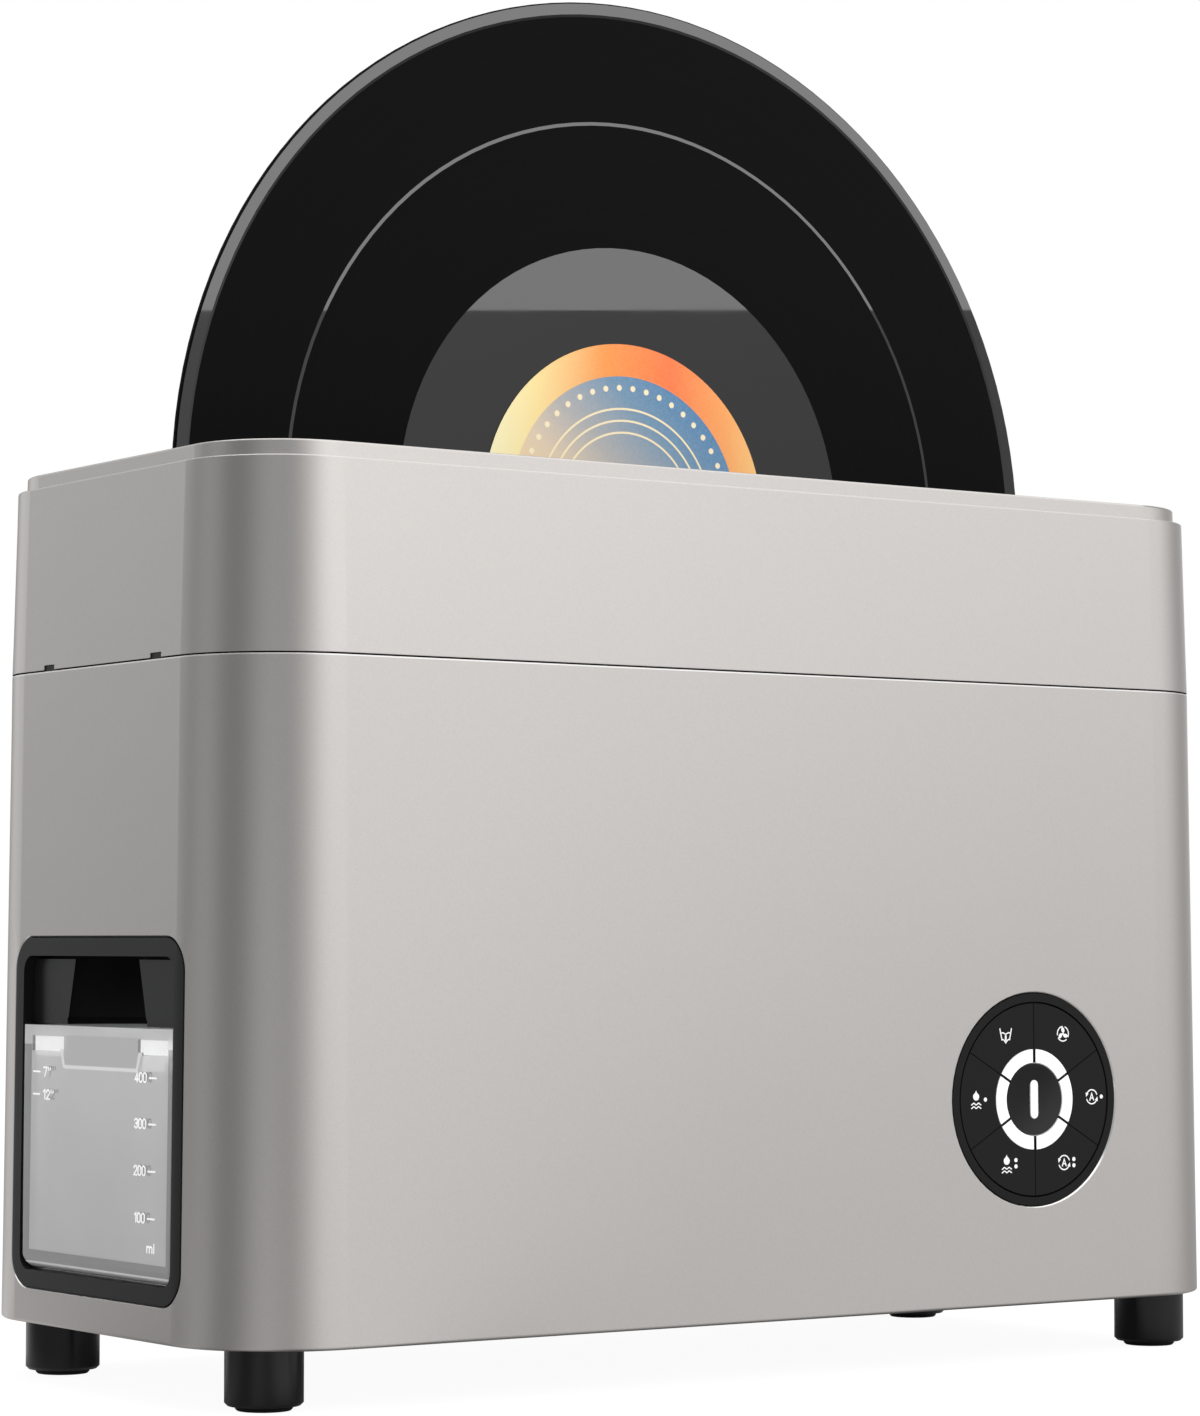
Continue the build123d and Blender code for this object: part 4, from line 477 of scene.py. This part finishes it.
def start_black_sheen():
    """The start key: glossier than its neighbours, and painted darker towards its upper left and lighter towards
    its lower right, as painted shade and sheen on its dish.
    """
    mat, graph, shader = moulded("start_black_sheen", (0.004, 0.004, 0.004), 0.30, 1400.0, bump=0.01, specular=0.30)
    x, _, z = graph.place()
    dx = graph.math("SUBTRACT", x, panel_centre.x)
    dz = graph.math("SUBTRACT", z, panel_centre.z)
    # painted light and shade: the key's dish is painted lighter towards its lower right
    slant = graph.math("SUBTRACT", dx, dz)
    share = graph.map(slant, -6 * MM, 14 * MM, 0.0, 1.0, smooth=True)
    tint = graph.mix(share, (0.002, 0.002, 0.002, 1), (0.017, 0.017, 0.017, 1))
    graph.put(shader.inputs["Base Color"], tint)
    return mat


def white_ink(name, glow):
    """White ink with a faint glow of painted light."""
    mat, _, shader = moulded(name, (0.90, 0.90, 0.90), 0.5, 1500.0, spread=0.02)
    shader.inputs["Emission Color"].default_value = (1, 1, 1, 1)
    shader.inputs["Emission Strength"].default_value = glow
    return mat


materials = {
    "body_paint": body_paint(),
    "black_plastic": moulded("black_plastic", (0.0085, 0.0085, 0.009), 0.36, 800.0, specular=0.28)[0],
    "gloss_black": moulded("gloss_black", (0.0125, 0.0125, 0.0125), 0.45, 1400.0, bump=0.015,
                           specular=0.10)[0],
    "foot_black": moulded("foot_black", (0.003, 0.003, 0.003), 0.24, 900.0, specular=0.45)[0],
    "rubber": moulded("rubber", (0.010, 0.010, 0.010), 0.62, 600.0, bump=0.08, specular=0.2)[0],
    "steel": brushed("steel", (0.56, 0.57, 0.58), 0.30, (80.0, 80.0, 2400.0)),
    "aluminium": brushed("aluminium", (0.72, 0.73, 0.74), 0.34, (600.0, 60.0, 600.0)),
    "bush_plastic": moulded("bush_plastic", (0.78, 0.76, 0.70), 0.45, 500.0)[0],
    "brass_gear": brushed("brass_gear", (0.74, 0.56, 0.25), 0.32, (600.0, 60.0, 600.0)),
    "clear_plastic": milky_plastic(),
    "sponge": moulded("sponge", (0.10, 0.12, 0.13), 0.9, 700.0, spread=0.5, bump=0.8)[0],
    "hose_silicone": moulded("hose_silicone", (0.72, 0.72, 0.69), 0.4, 300.0)[0],
    "circuit_board": circuit_board(),
    "cable_grey": moulded("cable_grey", (0.42, 0.42, 0.43), 0.5, 900.0)[0],
    "white_light": white_light(),
    "vinyl": smooth_vinyl("smooth_vinyl", 0.54),
    "label_paper": label_paper(),
}
special = {"bay_liner": liner_plastic(), "tank_lid": lid_plastic(), "key_start": start_black_sheen()}
ink = white_ink("white_ink", 0.12)
mark_ink = white_ink("mark_ink", 0.40)

for subpart in frame["record"]["subparts"]:
    node = nodes[subpart["node"]]
    node.data.materials.clear()
    node.data.materials.append(special.get(subpart["node"]) or materials[subpart["material_slot"]])

smooth_angle = math.radians(28)
for node in nodes.values():
    node.data.shade_smooth()
    node.data.set_sharp_from_angle(angle=smooth_angle)

# the recorded bands lie a little lower than the record's lands; they and the edge are dull
disc = nodes["record_disc"].data
disc.materials.append(grooved_vinyl())
disc.materials.append(smooth_vinyl("runout_vinyl", 0.48))
for face in disc.polygons:
    place = nodes["record_disc"].matrix_world @ face.center
    reach = reach_from(record_centre, place)
    flat = abs(face.normal.y) > 0.9
    in_band = groove_in < reach < gap_r - gap_half or gap_r + gap_half < reach < groove_out
    if flat:
        face.use_smooth = False
    step = groove_in - MM < reach < groove_in + MM or reach > groove_out - MM
    if flat and in_band or step and not flat:
        face.material_index = 1
    elif reach < groove_in:
        face.material_index = 2

# painted shade: the finger scoop over the tank is painted a dull, deeper black, for the shade in its hollow
liner = nodes["bay_liner"].data
liner.materials.append(moulded("scoop_shade_black", (0.0012, 0.0012, 0.0012), 0.55, 700.0, specular=0.05)[0])
for face in liner.polygons:
    if face.center.x > brow_x + 0.25 * MM and face.center.z > tank_high.z + 0.3 * MM:
        face.material_index = 1

# the shell's holes have bright cut edges
shell = nodes["lower_shell"].data
shell.materials.append(brushed("cut_edge", (0.96, 0.95, 0.94), 0.20, (300.0, 300.0, 300.0)))
frame_low, frame_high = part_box("bay_frame")
hole_r = 32.5 * MM             # just past the edge of the round hole
wall_reach = 2.5 * MM          # just past the wall's inner face
bay_half = 50 * MM
for face in shell.polygons:
    place, out = face.center, face.normal
    in_round = place.y < -60 * MM and reach_from(panel_centre, place) < hole_r
    round_hole = in_round and -0.95 < out.y < -0.3 and out.z > -0.1
    bay_hole = (place.x < shell_low.x + wall_reach and -0.95 < out.x < -0.3
                and frame_low.z - MM < place.z < frame_high.z + MM and abs(place.y) < bay_half)
    if round_hole or bay_hole:
        face.material_index = 1

# painted shade: the seam between the two shells is painted dark inside, for the shade in the gap; the upper shell
# gets the black twice, so that it is in the third slot of both
seam_shade_black = moulded("seam_shade_black", (0.014, 0.011, 0.009), 0.5, 700.0, specular=0.1)[0]
for name in ("lower_shell", "upper_shell"):
    skin = nodes[name].data
    if name == "upper_shell":
        skin.materials.append(seam_shade_black)
    skin.materials.append(seam_shade_black)
    for face in skin.polygons:
        level = abs(face.normal.z) > 0.7
        if level and abs(face.center.z - seam_z) < 0.8 * MM:
            face.material_index = 2
        elif name == "lower_shell" and not level and face.center.z > seam_z:
            face.material_index = 2

# the light ring's segments are blackened where they face one another
ring = nodes["light_ring"].data
ring.materials.append(materials["black_plastic"])
ring_in = 11.0 * MM
ring_out = 14.0 * MM
for face in ring.polygons:
    if abs(face.normal.y) < 0.5 and ring_in < reach_from(panel_centre, face.center) < ring_out:
        face.material_index = 1

# the walls in the light ring's slits are black
board = nodes["panel_board"].data
board.materials.append(materials["black_plastic"])
board_skin = max(v.co.y for v in board.vertices) - 1.7 * MM
for face in board.polygons:
    near_ring = ring_in - 0.5 * MM < reach_from(panel_centre, face.center) < ring_out + 0.5 * MM
    if face.center.y < board_skin and near_ring:
        face.material_index = 1


# ---------------------------------------------------------------- printed marks
class Ink:
    """Marks printed on a flat face: outlines in mm, on the face's own u (right) and v (up)."""

    def __init__(self, origin, u_axis, v_axis, lift):
        self.origin = Vector(origin)
        self.u = Vector(u_axis).normalized()
        self.v = Vector(v_axis).normalized()
        self.out = self.u.cross(self.v)
        self.lift = lift * MM
        self.mesh = bmesh.new()

    def corner(self, u, v, up):
        return self.mesh.verts.new(self.origin + self.u * u * MM + self.v * v * MM + self.out * up)

    def fill(self, points):
        """A filled outline, as a thin slab that stands on the face."""
        high = [self.corner(u, v, self.lift) for u, v in points]
        low = [self.corner(u, v, 0) for u, v in points]
        self.mesh.faces.new(high)
        self.mesh.faces.new(list(reversed(low)))
        for i in range(len(points)):
            j = (i + 1) % len(points)
            self.mesh.faces.new((low[i], low[j], high[j], high[i]))

    def disc(self, u, v, r):
        self.fill([(u + r * c, v + r * s) for c, s in turn(0, 360, 28)[:-1]])

    def stroke(self, points, width, caps=6):
        """A line of even width with mitred bends and round ends."""
        half = width / 2
        pts = [Vector(p) for p in points]
        runs = [(b - a).normalized() for a, b in zip(pts, pts[1:])]
        left, right = [], []
        for i, p in enumerate(pts):
            before = runs[max(i - 1, 0)]
            after = runs[min(i, len(runs) - 1)]
            side = Vector((-(before + after).y, (before + after).x)).normalized()
            reach = half / max(0.5, side.dot(Vector((-after.y, after.x))))
            left.append(p + side * reach)
            right.append(p - side * reach)
        ends = []
        for p, run in ((pts[-1], runs[-1]), (pts[0], -runs[0])):
            start = math.degrees(math.atan2(run.y, run.x)) + 90
            ends.append([p + half * Vector(cs) for cs in turn(start, start - 180, caps)[1:-1]])
        outline = left + ends[0] + list(reversed(right)) + ends[1]
        self.fill([tuple(p) for p in reversed(outline)])

    def arc(self, u, v, r, start, end, width):
        steps = max(8, int(abs(end - start) / 12))
        self.stroke([(u + r * c, v + r * s) for c, s in turn(start, end, steps)], width)

    def done(self, name, body, material):
        bmesh.ops.recalc_face_normals(self.mesh, faces=self.mesh.faces)
        data = bpy.data.meshes.new(name)
        self.mesh.to_mesh(data)
        self.mesh.free()
        data.materials.append(material)
        piece = add_object(name, data)
        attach(piece, body)


def turn(start, end, steps):
    """Unit vectors from one angle to another, in degrees, both ends included."""
    angles = [math.radians(start + (end - start) * i / steps) for i in range(steps + 1)]
    return [(math.cos(a), math.sin(a)) for a in angles]


def mark_lines(mark):
    """A digit, letter or sign as single lines in a box one unit high, as (how wide, its lines)."""
    w = 0.62
    bowl = [(w / 2 + w / 2 * c, 0.72 + 0.28 * s) for c, s in turn(180, 0, 10)]
    base = [(w / 2 + w / 2 * c, 0.28 + 0.28 * s) for c, s in turn(0, -180, 10)]
    if mark == "0":
        return w, [bowl + base + [bowl[0]]]
    if mark == "1":
        return 0.34, [[(0.02, 0.80), (0.30, 1.0), (0.30, 0.0)]]
    if mark == "2":
        top = [(w / 2 + w / 2 * c, 0.72 + 0.28 * s) for c, s in turn(170, -30, 10)]
        return w, [top + [(0.0, 0.0), (w, 0.0)]]
    if mark == "3":
        top = [(w / 2 + w / 2 * c, 0.75 + 0.25 * s) for c, s in turn(165, -90, 10)]
        low = [(w / 2 + w / 2 * c, 0.26 + 0.25 * s) for c, s in turn(90, -165, 10)]
        return w, [top, low]
    if mark == "4":
        return w, [[(w * 0.72, 0.0), (w * 0.72, 1.0), (0.0, 0.26), (w, 0.26)]]
    if mark == "7":
        return w, [[(0.0, 1.0), (w, 1.0), (0.22, 0.0)]]
    if mark == '"':
        return 0.44, [[(0.04, 1.02), (0.04, 0.72)], [(0.40, 1.02), (0.40, 0.72)]]
    if mark == "m":
        hump = [(0.19 + 0.19 * c, 0.50 + 0.19 * s) for c, s in turn(180, 0, 8)]
        second = [(u + 0.38, v) for u, v in hump]
        return 0.76, [[(0.0, 0.0), (0.0, 0.68)], hump + [(0.38, 0.0)], second + [(0.76, 0.0)]]
    return 0.06, [[(0.03, 0.0), (0.03, 1.0)]]      # the letter l


def write(ink_layer, text, u, v, height, line, squeeze=1.0):
    """Writes marks from u on, their feet at v."""
    gap = 0.24
    for mark in text:
        wide, lines = mark_lines(mark)
        for points in lines:
            ink_layer.stroke([(u + a * height * squeeze, v + b * height) for a, b in points], line)
        u += (wide + gap) * height * squeeze


def level_marks():
    """The tank's scale on its front wall: two record sizes on the left and millilitres on the right."""
    front = tank_low.x - tank_lean * (tank_low.z - foot_top)
    face = ((front, 0, foot_top), (0, -1, 0), (tank_lean, 0, 1))
    layer = Ink(*face, lift=0.06)
    shadow = Ink(*face, lift=0.04)
    height = 2.4
    line = 0.42
    dash = 3.8
    size_column = -29.4
    size_dash = -35.4
    volume_column = 23.0
    volume_dash = 30.7
    narrow_one = 0.7            # a number that starts with a 1 stands a little further right

    def number(text, u, level, squeeze):
        """A number, and its shadow on the wall behind."""
        low = level - height / 2
        write(layer, text, u, low, height, line, squeeze)
        write(shadow, text, u + 2.9, low + 0.2, height, 0.40, squeeze)

    for text, level in (('7"', 68.75), ('12"', 62.6)):
        layer.stroke([(size_dash, level), (size_dash + dash, level)], line)
        number(text, size_column, level, 1.3)
    for text, level in (("400", 68.7), ("300", 56.65), ("200", 44.4), ("100", 32.1)):
        number(text, volume_column + (narrow_one if text[0] == "1" else 0), level, 1.1)
        layer.stroke([(volume_dash, level - 0.05), (volume_dash + dash, level - 0.05)], line)
    write(layer, "ml", volume_dash, 23.3, 2.3, line, 1.6)
    layer.done("tank_level_marks", "tank", mark_ink)
    shadow.done("tank_mark_shadows", "tank", moulded("mark_shadow", (0.33, 0.33, 0.33), 0.4, 1500.0)[0])


level_marks()


# ---------------------------------------------------------------- icons on the keys
def key_layer():
    """A printing layer on the keys' common front face; u and v run from the panel's centre."""
    skin = shell_low.y + wall_draft * (panel_centre.z - foot_top)
    sunk = 0.30 * MM
    return Ink((panel_centre.x, skin + sunk, panel_centre.z), (1, 0, 0), (0, wall_draft, 1), lift=0.05)


def dots(layer, u, v, count):
    """One dot for the short programme, two, one above the other, for the long one."""
    for i in range(count):
        layer.disc(u, v + (0.9 if count > 1 else 0) - 1.8 * i, 0.60)


def auto_icon(name, body, u, v, count):
    """A letter in a circle of two arrows."""
    layer = key_layer()
    r = 2.05
    for start in (20, 200):
        layer.arc(u, v, r, start, start + 128, 0.36)
        c, s = turn(start + 140, start + 140, 1)[0]
        tip = Vector((u + r * c, v + r * s))
        along = Vector((-s, c))
        out = Vector((c, s))
        layer.fill([tuple(tip + along * 0.75), tuple(tip - along * 0.45 + out * 0.58),
                    tuple(tip - along * 0.45 - out * 0.58)])
    layer.stroke([(u - 0.72, v - 0.95), (u, v + 1.0), (u + 0.72, v - 0.95)], 0.40)
    layer.stroke([(u - 0.42, v - 0.35), (u + 0.42, v - 0.35)], 0.34)
    dots(layer, u + 3.7, v, count)
    layer.done(name, body, ink)


def wash_icon(name, body, u, v, count):
    """A water drop over two waves."""
    layer = key_layer()
    r = 1.12
    drop = [(u + r * c, v + 1.22 + r * s) for c, s in turn(150, 390, 20)]
    layer.fill(drop + [(u + 0.34, v + 2.3), (u, v + 2.95), (u - 0.34, v + 2.3)])
    for low in (-0.88, -1.88):
        wave = [(u - 1.75 + 3.5 * i / 32, v + low - 0.24 * math.cos(i * math.pi / 8)) for i in range(33)]
        layer.stroke(wave, 0.34)
    dots(layer, u + 3.45, v + (0.3 if count == 1 else 0.45), count)
    layer.done(name, body, ink)


def drain_icon(name, body, u, v):
    """A vessel with its water running out below."""
    layer = key_layer()
    for side in (-1, 1):
        wall = [(2.15, 2.2), (1.45, -0.9), (0.9, -0.9)]
        level = [(1.72, 0.95), (1.0, 1.1), (0.15, 0.7)]
        layer.stroke([(u + side * a, v + b) for a, b in wall], 0.38)
        layer.stroke([(u + side * a, v + b) for a, b in level], 0.34)
    layer.stroke([(u, v + 0.15), (u, v - 1.2)], 0.62)
    layer.fill([(u - 0.95, v - 0.95), (u, v - 2.1), (u + 0.95, v - 0.95)])
    layer.done(name, body, ink)


def fan_icon(name, body, u, v):
    """A three-bladed fan inside a broken circle."""
    layer = key_layer()
    for start in (95, 215, 335):
        layer.arc(u, v, 2.12, start, start + 92, 0.34)
    for lean in (90, 210, 330):
        out = Vector(turn(lean, lean, 1)[0])
        side = Vector((-out.y, out.x))
        centre = Vector((u, v)) + out * 1.12
        blade = [centre + out * 0.80 * c + side * (0.58 * s + 0.16 * c) for c, s in turn(0, 360, 20)[:-1]]
        layer.fill([tuple(p) for p in blade])
    layer.disc(u, v, 0.34)
    layer.done(name, body, ink)


def start_bar(name, body):
    """The bar on the start key, let into its dish."""
    layer = key_layer()
    layer.lift = 0.40 * MM
    layer.origin += Vector((0, 0.42 * MM, 0))
    layer.stroke([(0, -4.15), (0, 4.15)], 2.75, caps=16)
    layer.done(name, body, ink)


drain_icon("drain_icon", "button_drain", -10.6, 18.2)
fan_icon("dry_icon", "button_dry", 11.1, 18.7)
auto_icon("auto_short_icon", "button_auto_short", 21.9, 0.25, 1)
auto_icon("auto_long_icon", "button_auto_long", 11.0, -18.5, 2)
wash_icon("wash_short_icon", "button_wash_short", -21.9, 0.0, 1)
wash_icon("wash_long_icon", "button_wash_long", -10.75, -18.6, 2)
start_bar("start_bar", "button_start")


# ---------------------------------------------------------------- floor, world and lamps
def floor():
    """A white floor that keeps a soft shadow; the camera sees it as white as the background."""
    half = 9.0
    half_wide = 145 * MM        # painted shadow: under the machine the floor, as gloss mirrors it, is painted dark, and it pales away from it
    half_deep = 72 * MM
    shade_run = 45 * MM
    corner_x = 140 * MM         # directions over the floor are taken from the machine's left front corner
    corner_y = 50 * MM
    data = bpy.data.meshes.new("floor")
    mesh = bmesh.new()
    corners = ((-half, -half, 0), (half, -half, 0), (half, half, 0), (-half, half, 0))
    mesh.faces.new([mesh.verts.new(corner) for corner in corners])
    mesh.to_mesh(data)
    mesh.free()
    piece = add_object("floor", data)
    mat = bpy.data.materials.new("floor")
    mat.use_nodes = True
    graph = Graph(mat.node_tree)
    lit = graph.add("BsdfDiffuse", Color=(0.82, 0.82, 0.82, 1))
    glow = graph.add("Emission", Color=(1, 1, 1, 1), Strength=0.95)
    soft = graph.add("BsdfDiffuse", Color=(0.12, 0.12, 0.12, 1))
    seen = graph.add("AddShader", i0=glow, i1=soft)
    path = graph.add("LightPath")
    direct = graph.add("MixShader", Fac=path.outputs["Is Camera Ray"], i1=lit, i2=seen)
    x, y, _ = graph.place()
    outside = graph.math("MAXIMUM", graph.math("SUBTRACT", graph.math("ABSOLUTE", x), half_wide),
                         graph.math("SUBTRACT", graph.math("ABSOLUTE", y), half_deep))
    shade = graph.map(outside, 0.0, shade_run, 0.25, 1.0, smooth=True)
    from_corner = [graph.math("ADD", x, corner_x), graph.math("ADD", y, corner_y)]
    grey = graph.math("MULTIPLY", studio_grey(graph, *from_corner, low_greys), shade)
    studio = graph.add("Emission", Color=(1, 1, 1, 1), Strength=grey)
    mixed = graph.add("MixShader", Fac=path.outputs["Is Glossy Ray"], i1=direct, i2=studio)
    graph.put(graph.add("OutputMaterial").inputs["Surface"], mixed)
    data.materials.append(mat)


# The studio that gloss reflects: its grey by direction, from the back (-180) over the right (-90),
# the front (0) and the left (90), near the horizon and from 16 degrees up. A separate least-squares
# program solved for most of these numbers from the photograph's brightness, and they were then adjusted.
# The stops from -180 to -90 and at 172 were added one by one.
low_greys = [(-180, 0.58), (-165, 0.24), (-148, 0.45), (-135, 0.85), (-122, 0.66), (-110, 0.46), (-90, 0.40),
             (-72, 0.62), (-54, 0.62), (-42, 0.47), (-30, 0.93), (-18, 0.70), (-6, 0.82), (4, 0.65),
             (14, 0.50), (24, 0.38), (34, 0.48), (46, 0.54), (58, 0.46), (68, 0.30), (78, 0.24),
             (90, 0.27), (104, 0.42), (118, 0.41), (130, 0.29), (140, 0.26), (150, 0.37), (162, 0.68),
             (172, 0.80), (180, 0.62)]
high_greys = [(-180, 0.64), (-165, 0.26), (-148, 0.55), (-135, 1.05), (-122, 0.80), (-110, 0.50), (-90, 0.42),
              (-72, 0.90), (-54, 1.42), (-42, 1.22), (-30, 1.44), (-18, 1.68), (-6, 1.38), (4, 0.80),
              (14, 0.52), (24, 0.38), (34, 0.38), (46, 0.41), (58, 0.33), (68, 0.25), (78, 0.22),
              (90, 0.23), (104, 0.41), (118, 0.42), (130, 0.31), (140, 0.42), (150, 0.72), (162, 0.92),
              (172, 0.88), (180, 0.68)]


def studio_grey(graph, x, y, stops):
    """The studio's grey in the direction of x and y."""
    angle = graph.math("ARCTAN2", graph.math("MULTIPLY", x, -1.0), graph.math("MULTIPLY", y, -1.0))
    share = graph.map(angle, -math.pi, math.pi, 0.0, 1.0)
    tones = [((a + 180) / 360, (g / 2, g / 2, g / 2)) for a, g in stops]
    grey = graph.add("SeparateXYZ", Vector=graph.ramp(share, tones)).outputs[0]
    return graph.math("MULTIPLY", grey, 2.0)


def white_world(light, overhead):
    """White where it is seen, straight or through glass; matt things get a plain light, gloss the studio."""
    world = bpy.data.worlds.new("world")
    world.use_nodes = True
    bpy.context.scene.world = world
    graph = Graph(world.node_tree)
    path = graph.add("LightPath")
    along = graph.add("SeparateXYZ", Vector=graph.add("TexCoord").outputs["Generated"])
    x, y, z = along.outputs
    horizon, sides_up, roof_low, roof_high = (math.sin(math.radians(a)) for a in (-4, 16, 38, 52))
    rise = graph.map(z, horizon, sides_up, 0.0, 1.0)
    low = graph.math("MULTIPLY", studio_grey(graph, x, y, low_greys), graph.math("SUBTRACT", 1.0, rise))
    sides = graph.math("ADD", low, graph.math("MULTIPLY", studio_grey(graph, x, y, high_greys), rise))
    roof = graph.map(z, roof_low, roof_high, 0.0, 1.0, smooth=True)
    studio = graph.math("ADD", graph.math("MULTIPLY", sides, graph.math("SUBTRACT", 1.0, roof)),
                        graph.math("MULTIPLY", roof, overhead))
    seen = graph.math("MAXIMUM", path.outputs["Is Camera Ray"], path.outputs["Is Transmission Ray"])
    matt = graph.map(seen, 0.0, 1.0, light, 1.0)
    gloss = path.outputs["Is Glossy Ray"]
    strength = graph.math("ADD", graph.math("MULTIPLY", matt, graph.math("SUBTRACT", 1.0, gloss)),
                          graph.math("MULTIPLY", studio, gloss))
    left = graph.math("MULTIPLY", gloss, graph.map(x, -0.65, -0.10, 1.0, 0.0, smooth=True))
    cool = graph.mix(left, (1, 1, 1, 1), (0.962, 1.0, 1.022, 1))
    background = graph.add("Background", Color=cool, Strength=strength)
    graph.put(graph.add("OutputWorld").inputs["Surface"], background)


def area_lamp(name, wide, high, radiance):
    """A white rectangular lamp that shines straight down."""
    data = bpy.data.lights.new(name, "AREA")
    data.shape = "RECTANGLE"
    data.size = wide
    data.size_y = high
    data.energy = radiance * math.pi * wide * high
    return add_object(name, data)


def softbox(name, angle, distance, low, high, wide, radiance):
    """An upright soft lamp that faces the object. The angle runs from the front (0) to the left (90)."""
    a = math.radians(angle)
    away = Vector((-math.sin(a), -math.cos(a), 0))
    lamp = area_lamp(name, wide, high - low, radiance)
    lamp.location = away * distance + Vector((0, 0, (low + high) / 2))
    lamp.rotation_euler = away.to_track_quat("Z", "Y").to_euler()
    return lamp


floor()
white_world(light=0.62, overhead=1.36)
key = softbox("key_softbox", angle=-35.0, distance=2.5, low=0.74, high=2.9, wide=3.6, radiance=2.2)
key.visible_glossy = False
top = area_lamp("top_softbox", wide=2.4, high=2.4, radiance=0.9)
top.location.z = 2.6
top.visible_glossy = False
strip = softbox("horizon_strip", angle=-35.0, distance=2.4, low=0.675, high=0.965, wide=0.84, radiance=3.15)
mirrored = bpy.data.collections.new("strip_mirror")      # the strip's mirror image is only in the record
mirrored.objects.link(nodes["record_disc"])
strip.light_linking.receiver_collection = mirrored
